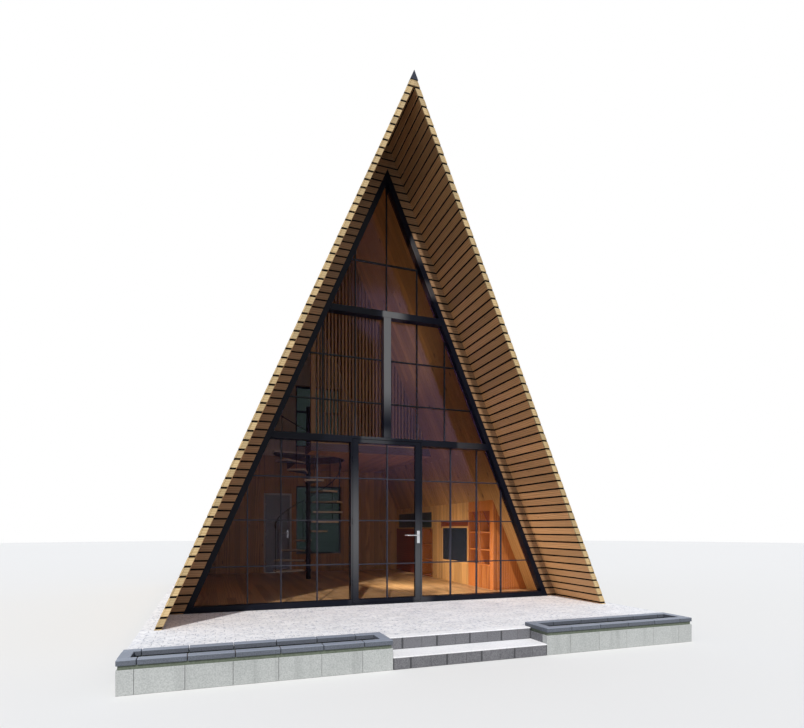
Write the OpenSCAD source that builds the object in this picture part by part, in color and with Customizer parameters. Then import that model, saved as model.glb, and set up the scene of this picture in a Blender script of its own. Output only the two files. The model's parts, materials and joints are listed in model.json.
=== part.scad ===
// A-frame cabin on a low block terrace: two steep timber-clad roof slopes that are also
// its walls, a fully glazed steel front with a door, a boarded rear gable with a door and
// two windows, and inside it a slatted loft that a spiral stair climbs to.
// X runs across the front, Y goes into the house from the face of the glazed front, and
// Z is up from the ground.

/* [House] */
// Half the width of the roof where it stands on the terrace
roof_half_w = 3153; // [2950:1:3300]
// Slope of the roof, in degrees from level
roof_pitch = 66.5; // [65:0.1:68]
// Depth of the house from the glazed front to the outside of the rear gable
house_d = 6000; // [5600:10:6600]
// Reach of the roof past the front and past the rear gable
overhang = 1127; // [700:1:1300]
// Thickness of the roof over the rooms, square to the slope
roof_t = 233; // [200:1:280]
// Thickness of the roof where it overhangs, square to the slope
verge_t = 75; // [66:1:100]
// Thickness of the outer boards and of the soffit boards
board_t = 22; // [16:1:28]
// Thickness of the pine lining
lining_t = 20; // [14:1:28]
// Clearance where a piece is cut to the slope
seat_gap = 0.3; // [0.2:0.1:1]

/* [Ridge cap] */
// Thickness of the sheet of the ridge cap
cap_t = 4; // [2:0.5:8]
// Length of each leg of the ridge cap down the slope
cap_leg = 130; // [80:5:200]
// Reach of the ridge cap past the boards at each end
cap_lip = 8; // [0:1:20]

/* [Terrace] */
// Height of the terrace above the ground
terrace_h = 257; // [220:1:300]
// Thickness of the terrace paving
paving_t = 40; // [30:1:60]
// Ledge of the terrace beside and behind the roof
terrace_ledge = 147; // [60:1:300]
// Distance from the glazed front to the back of the planters
terrace_front = 2262; // [1900:1:2600]
// Height of the lower step
step_h = 127; // [100:1:150]
// Depth of the lower step
step_run = 322; // [260:1:400]
// Left edge of the steps
steps_left = -835; // [-1100:5:-600]
// Right edge of the steps
steps_right = 971; // [600:1:1300]

/* [Planters] */
// Depth of a planter from front to back
planter_d = 450; // [380:5:560]
// Right end of the right planter
planter_right_end = 3106; // [2400:1:3290]
// Thickness of the planter walls
planter_wall = 90; // [60:5:110]
// Width of the planter coping
coping_w = 104; // [90:1:130]
// Thickness of the planter coping
coping_t = 100; // [60:5:120]
// Height of the top of the coping above the terrace
coping_rise = 56; // [20:1:90]
// Depth of the soil below the top of the coping
soil_drop = 60; // [40:5:90]

/* [Glazed front] */
// Width of the sloping stiles and of the transoms seen from the front
stile_w = 80; // [60:1:110]
// Depth of the frame from front to back
frame_d = 140; // [110:1:180]
// Height of the sill
sill_h = 86; // [70:1:110]
// Height of the transoms
transom_h = 97; // [85:1:120]
// Underside of the lower transom above the terrace
lower_transom_z = 2449; // [2350:1:2520]
// Underside of the upper transom above the terrace
upper_transom_z = 4391; // [4250:1:4500]
// Width of the middle mullion
mullion_w = 116; // [90:1:140]
// Thickness of the glass units
glass_t = 24; // [18:1:36]
// Depth of the front glass behind the face of the frame
glass_set = 100; // [84:1:104]

/* [Front door] */
// Half the width of the clear glass of the front door
door_sight = 457; // [400:1:500]
// Width of the stiles of the front door
door_stile = 88; // [80:1:96]
// Height of the rails of the front door
door_rail = 50; // [44:1:54]
// Thickness of the front door
door_t = 55; // [46:1:60]
// Gap round a door leaf
door_gap = 6; // [5:0.5:9]
// Width of the face of a door post beside the leaf
post_nib = 22; // [18:1:30]
// Lap of a door post behind the leaf
post_lap = 15; // [12:1:18]

/* [Door furniture] */
// Height of the lever above the terrace
lever_z = 1050; // [950:5:1100]
// Distance of the front lever from the middle of its stile
lever_off = 4; // [0:1:8]
// Length of the lever from its spindle
lever_len = 185; // [120:5:200]
// Radius of the lever bar
lever_r = 9; // [7:0.5:11]
// Stand of the middle of the lever off the door
lever_stand = 48; // [40:1:60]
// Radius of the neck of the lever
neck_r = 9.5; // [8:0.5:11]
// Radius of the spindle
spindle_r = 4; // [3:0.5:5]
// Width of a lock plate
plate_w = 47; // [40:1:56]
// Height of a lock plate
plate_h = 193; // [170:1:220]
// Thickness of a lock plate
plate_t = 8; // [5:0.5:10]
// Rise of the plate above the spindle
plate_rise = 70; // [60:1:90]
// Radius of the keyhole cylinder
cylinder_r = 8.5; // [7:0.5:10]
// Distance of the keyhole cylinder below the spindle
cylinder_drop = 92; // [70:1:100]
// Radius of a hinge knuckle
knuckle_r = 10; // [8:0.5:11]
// Height of a hinge knuckle
knuckle_h = 50; // [40:1:70]
// Radius of a hinge pin
pin_r = 5; // [4:0.5:6]
// Distance of the hinge pin in front of the door
pin_stand = 12; // [11.5:0.5:14]
// Reach of a hinge strap over the leaf
strap_w = 48; // [30:1:70]
// Thickness of a hinge strap
strap_t = 5; // [3:0.5:6]
// Running gap at the knuckles and the spindle
run_gap = 0.4; // [0.3:0.1:1]
// Reach of the keyhole cylinder past its plate
cylinder_proud = 4; // [2:1:8]

/* [Rear gable] */
// Thickness of the rear gable wall
gable_t = 200; // [160:5:260]
// Left side of the rear doorway
back_door_left = -1320; // [-1400:5:-1280]
// Width of the rear doorway
back_door_w = 680; // [660:5:700]
// Height of the rear doorway above the terrace
back_door_h = 2040; // [1950:5:2120]
// Thickness of the rear door frame
back_frame_w = 38; // [30:1:46]
// Thickness of the rear door
back_door_t = 45; // [38:1:52]
// Reach of the rear door frame into the room
back_frame_proud = 14; // [8:1:20]
// Distance of the rear lever from the edge of its door
back_set = 50; // [40:1:60]
// Lap of the rear door frame behind the leaf
back_frame_lap = 14; // [10:1:18]
// Left side of the rear windows
window_left = -540; // [-560:5:-500]
// Width of the rear windows
window_w = 1190; // [900:5:1200]
// Underside of the lower rear window above the terrace
low_window_z = 500; // [300:10:800]
// Top of the lower rear window above the terrace
low_window_top = 2260; // [1800:10:2400]
// Underside of the upper rear window above the terrace
high_window_z = 3230; // [3000:10:3500]
// Distance from the top right corner of the upper rear window to the slope
window_margin = 162; // [80:1:260]
// Height of the top light of the upper rear window
top_light_h = 655; // [400:5:700]
// Width of the rear window frames
window_frame_w = 50; // [40:1:70]
// Depth of the rear window frames
window_frame_d = 80; // [60:1:110]
// Distance of the rear window frames from the inside of the wall
window_set = 60; // [20:5:90]

/* [Floors] */
// Thickness of the ground floor over the terrace
floor_t = 60; // [40:1:80]
// Top of the loft floor above the terrace
loft_z = 2800; // [2740:5:2900]
// Thickness of the loft floor
loft_t = 150; // [110:5:200]
// Distance from the glazed front to the edge of the loft
loft_front = 2400; // [2200:10:2700]
// Left edge of the loft floor
loft_left = -750; // [-850:5:-650]

/* [Slatted screen] */
// Width of a slat
slat_w = 34; // [24:1:40]
// Depth of a slat
slat_d = 42; // [30:1:60]
// Spacing of the slats
slat_pitch = 69; // [52:1:80]
// Width of the corner post of the screen
screen_post = 90; // [60:5:120]
// Height of the head and foot rails of the screen
screen_rail = 60; // [40:5:90]

/* [Spiral stair] */
// Place of the stair pole from left to right
stair_x = -560; // [-600:5:-520]
// Place of the stair pole from the glazed front
stair_y = 3800; // [3700:10:3900]
// Radius of the stair pole
pole_r = 50; // [38:1:60]
// Radius of the stair to the ends of its treads
stair_r = 740; // [680:5:760]
// Number of treads below the landing
treads = 12; // [11:1:13]
// Turn from one tread to the next, in degrees
tread_turn = 30; // [26:1:30]
// Direction of the first tread, in degrees from the right
first_tread = 180; // [150:15:195]
// Sweep of a tread, in degrees
tread_sweep = 33; // [31:0.5:36]
// Thickness of a tread
tread_t = 45; // [35:1:55]
// Thickness of the collar of a tread
collar_w = 16; // [10:1:24]
// Reach of the pole above the loft floor
pole_rise = 1000; // [900:10:1100]
// Height of the handrail above the treads
rail_h = 900; // [850:5:1000]
// Radius of the handrail
rail_r = 18; // [14:1:22]
// Radius of a baluster
baluster_r = 8; // [6:0.5:12]
// Distance of the handrail from the ends of the treads
rail_inset = 40; // [30:1:60]
// Clear gap between the treads and the loft floor
well_gap = 30; // [20:1:60]
// Sweep of the landing at the loft, in degrees
landing_sweep = 105; // [90:1:120]

/* [Fitted wall] */
// Height of the fitted wall where it meets the slope
knee_h = 1672; // [1600:1:1750]
// Near end of the fitted wall from the glazed front
knee_front = 600; // [450:10:900]
// Thickness of the boards of the fitted wall
knee_t = 28; // [20:1:36]
// Depth of the dark panels set in the fitted wall
panel_t = 12; // [8:1:16]
// Distance of the long dark panel from the rear wall
panel_margin = 200; // [100:10:400]

/* [Hidden] */
$fn = 48;

// A face t inside the outer face of the roof is this far from the middle at height z
// above the terrace.
function half_at(t, z) = roof_half_w - t / sin(roof_pitch) - z / tan(roof_pitch);
// The two such faces meet at this height above the terrace.
function apex(t) = half_at(t, 0) * tan(roof_pitch);

frame_t = roof_t + stile_w;
rear_in = house_d - gable_t;
roof_front = -overhang;
roof_rear = house_d + overhang;
terrace_half_w = roof_half_w + terrace_ledge;
terrace_rear = roof_rear + terrace_ledge;
front_line = -terrace_front - planter_d;
steps_front = front_line + step_run;
door_half_w = door_sight + door_stile;
door_z0 = sill_h - door_rail;
door_z1 = lower_transom_z + door_rail;
rebate_d = door_t + door_gap - 1;
post_in = door_half_w + door_gap;
post_out = post_in + post_nib;
lever_x = door_sight + door_stile / 2 + lever_off;
hinge_x = -door_half_w - door_gap / 2;
back_leaf_left = back_door_left + back_frame_w + door_gap;
back_leaf_right = back_door_left + back_door_w - back_frame_w - door_gap;
back_leaf_z0 = floor_t + door_gap;
back_leaf_top = back_door_h - back_frame_w - door_gap;
back_face = rear_in - back_frame_proud;
back_hinge_x = back_leaf_left - door_gap / 2;
back_lever_x = back_leaf_right - back_set;
riser = (loft_z - floor_t) / (treads + 1);
rail_path_r = stair_r - rail_inset;
stair_fn = 120;
rail_sides = 8;
rail_steps = 4 * treads;

// Turns a flat outline of X and height above the terrace into a solid from y0 to y1.
module along_y(y0, y1)
    translate([0, y1, terrace_h]) rotate([90, 0, 0]) linear_extrude(y1 - y0) children();

// A box given by its low and high corners, with its heights above the terrace.
module slab(x0, x1, y0, y1, z0, z1)
    translate([x0, y0, terrace_h + z0]) cube([x1 - x0, y1 - y0, z1 - z0]);

module flip_x() mirror([1, 0, 0]) children();

// The right half of the roof between two depths t0 and t1 inside its outer face.
module slope_layer(t0, t1, y0, y1)
    along_y(y0, y1) polygon([[half_at(t0, 0), 0], [half_at(t1, 0), 0],
        [0, apex(t1)], [0, apex(t0)]]);

// How far a piece that is cut to the slopes at depth t reaches at height z.
function reach_at(t, z) = half_at(t + seat_gap, z);

// A level band across the house, cut to the slopes at depth t.
module band(t, z0, z1, y0, y1)
    along_y(y0, y1) polygon([[-reach_at(t, z0), z0], [reach_at(t, z0), z0],
        [reach_at(t, z1), z1], [-reach_at(t, z1), z1]]);

// A band from x0 out to the right slope at depth t.
module right_band(t, x0, z0, z1, y0, y1)
    along_y(y0, y1) polygon([[x0, z0], [reach_at(t, z0), z0],
        [max(x0, reach_at(t, z1)), z1], [x0, z1]]);

// All that lies between the slopes at depth t from height z to the peak.
module peak(t, z, y0, y1)
    along_y(y0, y1) polygon([[-reach_at(t, z), z], [reach_at(t, z), z],
        [0, apex(t + seat_gap)]]);

module both_sides() { children(); flip_x() children(); }

// Terrace, steps and planters
module plinth() color("darkgray")
    slab(-terrace_half_w, terrace_half_w, -terrace_front, terrace_rear,
        -terrace_h, -paving_t);

module terrace_paving() color("whitesmoke")
    slab(-terrace_half_w, terrace_half_w, -terrace_front, terrace_rear, -paving_t, 0);

module steps() color("gainsboro") {
    slab(steps_left, steps_right, steps_front, -terrace_front, -terrace_h, 0);
    slab(steps_left, steps_right, front_line, steps_front, -terrace_h, step_h - terrace_h);
}

coping_z0 = coping_rise - coping_t;

module planter_ring(x0, x1, wall, z0, z1)
    difference() {
        slab(x0, x1, front_line, -terrace_front, z0, z1);
        slab(x0 + wall, x1 - wall, front_line + wall, -terrace_front - wall,
            z0 - 1, z1 + 1);
    }

module planter_boxes() color("silver") {
    planter_ring(-terrace_half_w, steps_left, planter_wall, -terrace_h, coping_z0);
    planter_ring(steps_right, planter_right_end, planter_wall, -terrace_h, coping_z0);
}

module planter_copings() color("dimgray") {
    planter_ring(-terrace_half_w, steps_left, coping_w, coping_z0, coping_rise);
    planter_ring(steps_right, planter_right_end, coping_w, coping_z0, coping_rise);
}

module soil_layer(x0, x1, inset, z0, z1)
    slab(x0 + inset, x1 - inset, front_line + inset, -terrace_front - inset, z0, z1);

module soil_block(x0, x1) {
    soil_layer(x0, x1, planter_wall, -terrace_h, coping_z0);
    soil_layer(x0, x1, coping_w, coping_z0, coping_rise - soil_drop);
}

module planter_soil() color("saddlebrown") {
    soil_block(-terrace_half_w, steps_left);
    soil_block(steps_right, planter_right_end);
}

// Ground floor, on the terrace between the two linings
module floor_deck() color("peru") band(roof_t, 0, floor_t, frame_d, rear_in);

// Roof
module roof_slope() {
    slope_layer(board_t, verge_t - board_t, roof_front + board_t, roof_rear - board_t);
    slope_layer(board_t, roof_t - lining_t, board_t, house_d - board_t);
}
module roof_right() color("dimgray") roof_slope();
module roof_left() color("dimgray") flip_x() roof_slope();

module cladding_right() color("burlywood")
    slope_layer(0, board_t, roof_front, roof_rear);
module cladding_left() color("burlywood")
    flip_x() slope_layer(0, board_t, roof_front, roof_rear);

// The boards round an overhang: the edge of the roof, the soffit and the face beside
// the glazing, folded round it as one skin.
module verge_boards() {
    slope_layer(board_t, verge_t, roof_front, roof_front + board_t);
    slope_layer(verge_t - board_t, verge_t, roof_front, board_t);
    slope_layer(verge_t - board_t, roof_t, 0, board_t);
}
module soffits() color("tan") {
    both_sides() verge_boards();
    translate([0, house_d, 0]) mirror([0, 1, 0]) both_sides() verge_boards();
}

cap_drop = cap_leg * sin(roof_pitch);

// The folded capping over the ridge, closed at both ends.
module ridge_cap() color("darkslategray") {
    top = apex(-cap_t);
    low = apex(0) - cap_drop;
    skin = [[0, top], [half_at(-cap_t, low), low], [half_at(0, low), low], [0, apex(0)],
        [-half_at(0, low), low], [-half_at(-cap_t, low), low]];
    along_y(roof_front - cap_lip, roof_rear + cap_lip) polygon(skin);
    end_plate = [[0, top], [half_at(-cap_t, low), low], [-half_at(-cap_t, low), low]];
    along_y(roof_front - cap_lip, roof_front) polygon(end_plate);
    along_y(roof_rear, roof_rear + cap_lip) polygon(end_plate);
}

module lining_right() color("goldenrod")
    slope_layer(roof_t - lining_t, roof_t, board_t, house_d - board_t);
module lining_left() color("goldenrod")
    flip_x() slope_layer(roof_t - lining_t, roof_t, board_t, house_d - board_t);

// Glazed front
module stile_right() color("midnightblue") slope_layer(roof_t, frame_t, 0, frame_d);
module stile_left() color("midnightblue")
    flip_x() slope_layer(roof_t, frame_t, 0, frame_d);

module upper_transom() color("midnightblue")
    band(frame_t, upper_transom_z, upper_transom_z + transom_h, 0, frame_d);

module lower_transom() color("midnightblue")
    difference() {
        band(frame_t, lower_transom_z, lower_transom_z + transom_h, 0, frame_d);
        slab(-post_in, post_in, -1, rebate_d, lower_transom_z - 1, door_z1 + door_gap);
    }

module sill() color("midnightblue")
    difference() {
        band(frame_t, 0, sill_h, 0, frame_d);
        slab(-post_in, post_in, -1, rebate_d, door_z0 - door_gap, sill_h + 1);
    }

module mid_mullion() color("midnightblue")
    slab(-mullion_w / 2, mullion_w / 2, 0, frame_d,
        lower_transom_z + transom_h, upper_transom_z);

// The fixed half of a hinge, with its pin, and the half that turns on it. The pin stands
// at x and y, and the leaf lies to its right.
module hinge_fixed(x, y, z, plate) {
    translate([x, y, terrace_h + z]) {
        cylinder(r = knuckle_r, h = knuckle_h);
        cylinder(r = pin_r, h = 2 * knuckle_h);
        translate([-knuckle_r, 0, 0]) cube([knuckle_r, pin_stand, knuckle_h]);
    }
    slab(x - door_gap / 2 - plate, x, y + pin_stand - strap_t, y + pin_stand,
        z, z + knuckle_h);
}

module hinge_turning(x, y, z)
    difference() {
        union() {
            translate([x, y, terrace_h + z]) cylinder(r = knuckle_r, h = knuckle_h);
            slab(x, x + knuckle_r, y, y + pin_stand, z, z + knuckle_h);
            slab(x + door_gap / 2, x + strap_w, y + pin_stand - strap_t, y + pin_stand,
                z, z + knuckle_h);
        }
        translate([x, y, terrace_h + z - 1])
            cylinder(r = pin_r + run_gap, h = knuckle_h + 2);
    }

front_hinges = [300, 1220, 2140];
back_hinges = [260, 1000, 1740];
hinge_gap = 0.5;

module door_posts() color("midnightblue") {
    both_sides() {
        slab(post_in, post_out, 0, frame_d, sill_h, lower_transom_z);
        slab(post_in - post_lap, post_out, rebate_d, frame_d, sill_h, lower_transom_z);
    }
    for (z = front_hinges) hinge_fixed(hinge_x, -pin_stand, z, post_nib - 2);
}

module front_glass() color("lightsteelblue", 0.4) {
    y0 = glass_set;
    y1 = glass_set + glass_t;
    peak(frame_t, upper_transom_z + transom_h, y0, y1);
    both_sides() {
        right_band(frame_t, mullion_w / 2, lower_transom_z + transom_h, upper_transom_z,
            y0, y1);
        right_band(frame_t, post_out, sill_h, lower_transom_z, y0, y1);
    }
}

// Front door
module door_leaf() color("midnightblue") {
    difference() {
        slab(-door_half_w, door_half_w, 0, door_t, door_z0, door_z1);
        slab(-door_sight, door_sight, -1, door_t + 1, sill_h, lower_transom_z);
        spindle_hole(lever_x, 0, door_t);
    }
    for (z = front_hinges)
        hinge_turning(hinge_x, -pin_stand, z + knuckle_h + hinge_gap);
}

module door_glass() color("lightsteelblue", 0.4)
    slab(-door_sight, door_sight, (door_t - glass_t) / 2, (door_t + glass_t) / 2,
        sill_h, lower_transom_z);

module spindle_hole(x, y0, t)
    translate([x, y0 - 1, terrace_h + lever_z]) rotate([-90, 0, 0])
        cylinder(r = spindle_r + run_gap, h = t + 2);

// One lock plate on the face of a door at y0, with the hole for the neck of the lever
// and the keyhole cylinder below it.
module lock_plate(x, y0, y1, keyhole_y)
    difference() {
        union() {
            slab(x - plate_w / 2, x + plate_w / 2, y0, y1,
                lever_z + plate_rise - plate_h, lever_z + plate_rise);
            translate([x, keyhole_y, terrace_h + lever_z - cylinder_drop])
                rotate([-90, 0, 0]) cylinder(r = cylinder_r, h = plate_t + cylinder_proud);
        }
        translate([x, y0 - 5, terrace_h + lever_z]) rotate([-90, 0, 0])
            cylinder(r = neck_r + run_gap, h = plate_t + 10);
    }

module lock_plates(x, face, t) {
    lock_plate(x, face - plate_t, face, face - plate_t - cylinder_proud);
    lock_plate(x, face + t, face + t + plate_t, face + t);
}

// A lever on each side of a door, joined by the spindle. The bars point left.
module lever_pair(x, face, t) {
    translate([x, 0, terrace_h + lever_z]) {
        translate([0, face - run_gap, 0]) rotate([-90, 0, 0])
            cylinder(r = spindle_r, h = t + 2 * run_gap);
        for (side = [[face - lever_stand, face - run_gap],
                [face + t + run_gap, face + t + lever_stand]])
            translate([0, side[0], 0]) rotate([-90, 0, 0])
                cylinder(r = neck_r, h = side[1] - side[0]);
        for (y = [face - lever_stand, face + t + lever_stand])
            translate([0, y, 0]) {
                rotate([0, -90, 0]) cylinder(r = lever_r, h = lever_len - lever_r);
                translate([-lever_len + lever_r, 0, 0]) sphere(r = lever_r);
                sphere(r = neck_r);
            }
    }
}

module door_plates() color("silver") lock_plates(lever_x, 0, door_t);
module door_lever() color("silver") lever_pair(lever_x, 0, door_t);

// Rear gable
module gable_wall_left() color("sienna")
    flip_x() right_band(roof_t, -back_door_left, 0, loft_z - loft_t, rear_in, house_d);

module gable_door_head() color("sienna")
    slab(back_door_left, back_door_left + back_door_w, rear_in, house_d,
        back_door_h, loft_z - loft_t);

module window_hole(z0, z1)
    slab(window_left, window_left + window_w, rear_in - 1, house_d + 1, z0, z1);

module gable_wall_right() color("sienna")
    difference() {
        right_band(roof_t, back_door_left + back_door_w, 0, loft_z - loft_t,
            rear_in, house_d);
        window_hole(low_window_z, low_window_top);
    }

module gable_wall_upper() color("wheat")
    difference() {
        peak(roof_t, loft_z - loft_t, rear_in, house_d);
        window_hole(high_window_z, high_window_top);
    }

window_y0 = rear_in + window_set;
window_y1 = window_y0 + window_frame_d;
// The upper window stops where the slope comes near its top right corner.
high_window_top = round(
    (half_at(roof_t, 0) - window_left - window_w - window_margin) * tan(roof_pitch));
window_bar_z = high_window_top - top_light_h;

module window_frame(z0, z1)
    difference() {
        slab(window_left, window_left + window_w, window_y0, window_y1, z0, z1);
        slab(window_left + window_frame_w, window_left + window_w - window_frame_w,
            window_y0 - 1, window_y1 + 1, z0 + window_frame_w, z1 - window_frame_w);
    }

module window_bar(z)
    slab(window_left + window_frame_w, window_left + window_w - window_frame_w,
        window_y0, window_y1, z - window_frame_w / 2, z + window_frame_w / 2);

module window_frames() color("midnightblue") {
    window_frame(low_window_z, low_window_top);
    window_frame(high_window_z, high_window_top);
    window_bar(window_bar_z);
}

module window_pane(z0, z1)
    slab(window_left + window_frame_w, window_left + window_w - window_frame_w,
        window_y0 + (window_frame_d - glass_t) / 2,
        window_y0 + (window_frame_d + glass_t) / 2, z0, z1);

module window_glass() color("lightsteelblue", 0.4) {
    window_pane(low_window_z + window_frame_w, low_window_top - window_frame_w);
    window_pane(high_window_z + window_frame_w, window_bar_z - window_frame_w / 2);
    window_pane(window_bar_z + window_frame_w / 2, high_window_top - window_frame_w);
}

// The rear door opens into the room. Its frame laps behind the leaf on the outside.
module back_door_frame() color("lightgray") {
    x0 = back_door_left;
    x1 = back_door_left + back_door_w;
    stop_y = back_face + back_door_t + door_gap;
    difference() {
        slab(x0, x1, back_face, house_d, 0, back_door_h);
        slab(x0 + back_frame_w, x1 - back_frame_w, back_face - 1, stop_y,
            floor_t, back_door_h - back_frame_w);
        slab(x0 + back_frame_w + back_frame_lap, x1 - back_frame_w - back_frame_lap,
            stop_y - 1, house_d + 1, floor_t, back_door_h - back_frame_w - back_frame_lap);
        slab(x0 - 1, x1 + 1, back_face - 1, rear_in, -1, floor_t);
    }
    for (z = back_hinges)
        hinge_fixed(back_hinge_x, back_face - pin_stand, z, back_frame_w - door_gap);
}

module back_door_leaf() color("slategray") {
    difference() {
        slab(back_leaf_left, back_leaf_right, back_face, back_face + back_door_t,
            back_leaf_z0, back_leaf_top);
        spindle_hole(back_lever_x, back_face, back_door_t);
    }
    for (z = back_hinges)
        hinge_turning(back_hinge_x, back_face - pin_stand, z + knuckle_h + hinge_gap);
}

module back_door_plates() color("silver")
    lock_plates(back_lever_x, back_face, back_door_t);
module back_door_lever() color("silver")
    lever_pair(back_lever_x, back_face, back_door_t);

// Loft
module loft_floor() color("peru")
    difference() {
        right_band(roof_t, loft_left, loft_z - loft_t, loft_z, loft_front, rear_in);
        translate([stair_x, stair_y, terrace_h + loft_z - loft_t - 1])
            cylinder(r = stair_r + well_gap, h = loft_t + 2, $fn = stair_fn);
    }

// The screen on the front edge of the loft: rails, a corner post and slats up to the
// slopes, all cut to the underside of the roof.
module loft_screen() color("peru") {
    y0 = loft_front;
    x1 = half_at(roof_t, loft_z);
    slats = floor((x1 - loft_left - screen_post) / slat_pitch);
    intersection() {
        peak(roof_t, loft_z, y0, y0 + screen_post);
        union() {
            slab(loft_left, loft_left + screen_post, y0, y0 + screen_post,
                loft_z, apex(roof_t));
            slab(loft_left, x1, y0, y0 + slat_d, loft_z, loft_z + screen_rail);
            for (k = [1 : slats])
                slab(loft_left + screen_post + k * slat_pitch - slat_w,
                    loft_left + screen_post + k * slat_pitch,
                    y0, y0 + slat_d, loft_z, apex(roof_t));
        }
    }
}

// Spiral stair
module at_stair(z) translate([stair_x, stair_y, terrace_h + z]) children();

function tread_angle(k) = first_tread - (k - 1) * tread_turn;

module stair_pole() color("dimgray")
    at_stair(floor_t) cylinder(r = pole_r, h = loft_z - floor_t + pole_rise, $fn = stair_fn);

// A wedge of a round step between two directions, out to radius r, on its own collar.
module step_wedge(z, from, to, r)
    at_stair(z - tread_t) difference() {
        union() {
            intersection() {
                cylinder(r = r, h = tread_t, $fn = stair_fn);
                linear_extrude(tread_t) polygon([[0, 0],
                    for (a = [from, (from + to) / 2, to]) 2 * r * [cos(a), sin(a)]]);
            }
            cylinder(r = pole_r + collar_w, h = tread_t, $fn = stair_fn);
        }
        translate([0, 0, -1]) cylinder(r = pole_r, h = tread_t + 2, $fn = stair_fn);
    }

module stair_treads() color("wheat") {
    for (k = [1 : treads])
        step_wedge(floor_t + k * riser, tread_angle(k) - tread_sweep / 2,
            tread_angle(k) + tread_sweep / 2, stair_r);
    // The landing runs from above the last tread round to the rear edge of the loft.
    landing_end = tread_angle(treads + 1) + 360 + tread_sweep / 2;
    step_wedge(loft_z, landing_end - landing_sweep, landing_end, stair_r + well_gap);
}

// The middle of the handrail at a share s of the way up, from the first tread to the last.
function rail_angle(s) = first_tread - s * (treads - 1) * tread_turn;
function rail_z(s) = floor_t + riser + s * (treads - 1) * riser + rail_h;
rail_climb = atan(riser / (rail_path_r * tread_turn * PI / 180));

// One ring of the handrail, square to its climb.
function rail_ring(s) = [for (i = [0 : rail_sides - 1])
    let (a = rail_angle(s), b = 360 * i / rail_sides,
        out = rail_path_r + rail_r * cos(b),
        back = rail_r * sin(b) * sin(rail_climb),
        up = rail_r * sin(b) * cos(rail_climb))
    [out * cos(a) + back * sin(a), out * sin(a) - back * cos(a),
        rail_z(s) + up]];

function ring_faces(a, b, n) = [for (i = [0 : n - 1])
    [a + i, b + i, b + (i + 1) % n, a + (i + 1) % n]];

module handrail() {
    rings = [for (i = [0 : rail_steps]) rail_ring(i / rail_steps)];
    n = rail_sides;
    last = rail_steps * n;
    polyhedron([for (r = rings) each r],
        [[for (i = [0 : n - 1]) i],
            for (i = [0 : rail_steps - 1]) each ring_faces(i * n, (i + 1) * n, n),
            [for (i = [n - 1 : -1 : 0]) last + i]],
        convexity = 6);
}

module stair_handrail() color("midnightblue") {
    at_stair(0) handrail();
    for (k = [1 : treads])
        at_stair(floor_t + k * riser) rotate([0, 0, tread_angle(k)])
            translate([rail_path_r, 0, 0]) cylinder(r = baluster_r, h = rail_h, $fn = 16);
}

// The wall fitted under the right slope, with its openings given as
// [near end, far end, underside, top].
shelf_bays = [[710, 1110, 500, 1480], [1140, 1530, 500, 1480], [3370, 4030, 100, 1150]];
dark_panels = [[1640, 2790, 500, 1170], [3370, rear_in - panel_margin, 1200, 1500]];
shelf_levels = [[500, 780, 1100], [500, 780, 1100], [100, 450, 800]];
knee_x = round(half_at(roof_t, knee_h));

// Everything under the right slope between the fitted wall and the lining.
module under_slope(y0, y1)
    along_y(y0, y1) polygon([[knee_x, floor_t], [reach_at(roof_t, floor_t), floor_t],
        [knee_x, (reach_at(roof_t, 0) - knee_x) * tan(roof_pitch)]]);

module fitted_wall() color("darkorange")
    difference() {
        intersection() {
            under_slope(knee_front, rear_in);
            union() {
                slab(knee_x, knee_x + knee_t, knee_front, rear_in, floor_t, loft_z);
                slab(knee_x, roof_half_w, knee_front, knee_front + knee_t,
                    floor_t, loft_z);
            }
        }
        for (b = shelf_bays)
            slab(knee_x - 1, knee_x + knee_t + 1, b[0], b[1], b[2], b[3]);
        for (p = dark_panels)
            slab(knee_x - 1, knee_x + panel_t, p[0], p[1], p[2], p[3]);
    }

module wall_shelves() color("chocolate")
    intersection() {
        under_slope(knee_front + knee_t, rear_in);
        for (i = [0 : len(shelf_bays) - 1]) {
            b = shelf_bays[i];
            for (y = [b[0] - knee_t, b[1]])
                slab(knee_x + knee_t, roof_half_w, y, y + knee_t, floor_t, b[3] + knee_t);
            for (z = shelf_levels[i])
                slab(knee_x + knee_t, roof_half_w, b[0], b[1], z - knee_t, z);
        }
    }

module wall_panels() color("darkslategray")
    for (p = dark_panels) slab(knee_x, knee_x + panel_t, p[0], p[1], p[2], p[3]);

plinth();
terrace_paving();
steps();
planter_boxes();
planter_copings();
planter_soil();
floor_deck();
roof_left();
roof_right();
cladding_left();
cladding_right();
soffits();
ridge_cap();
lining_left();
lining_right();
stile_left();
stile_right();
upper_transom();
lower_transom();
sill();
mid_mullion();
door_posts();
front_glass();
door_leaf();
door_glass();
door_plates();
door_lever();
gable_wall_left();
gable_door_head();
gable_wall_right();
gable_wall_upper();
window_frames();
window_glass();
back_door_frame();
back_door_leaf();
back_door_plates();
back_door_lever();
loft_floor();
loft_screen();
stair_pole();
stair_treads();
stair_handrail();
fitted_wall();
wall_shelves();
wall_panels();
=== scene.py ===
import bmesh
import bpy
import json
import math
import random
from mathutils import Matrix, Vector

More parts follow.
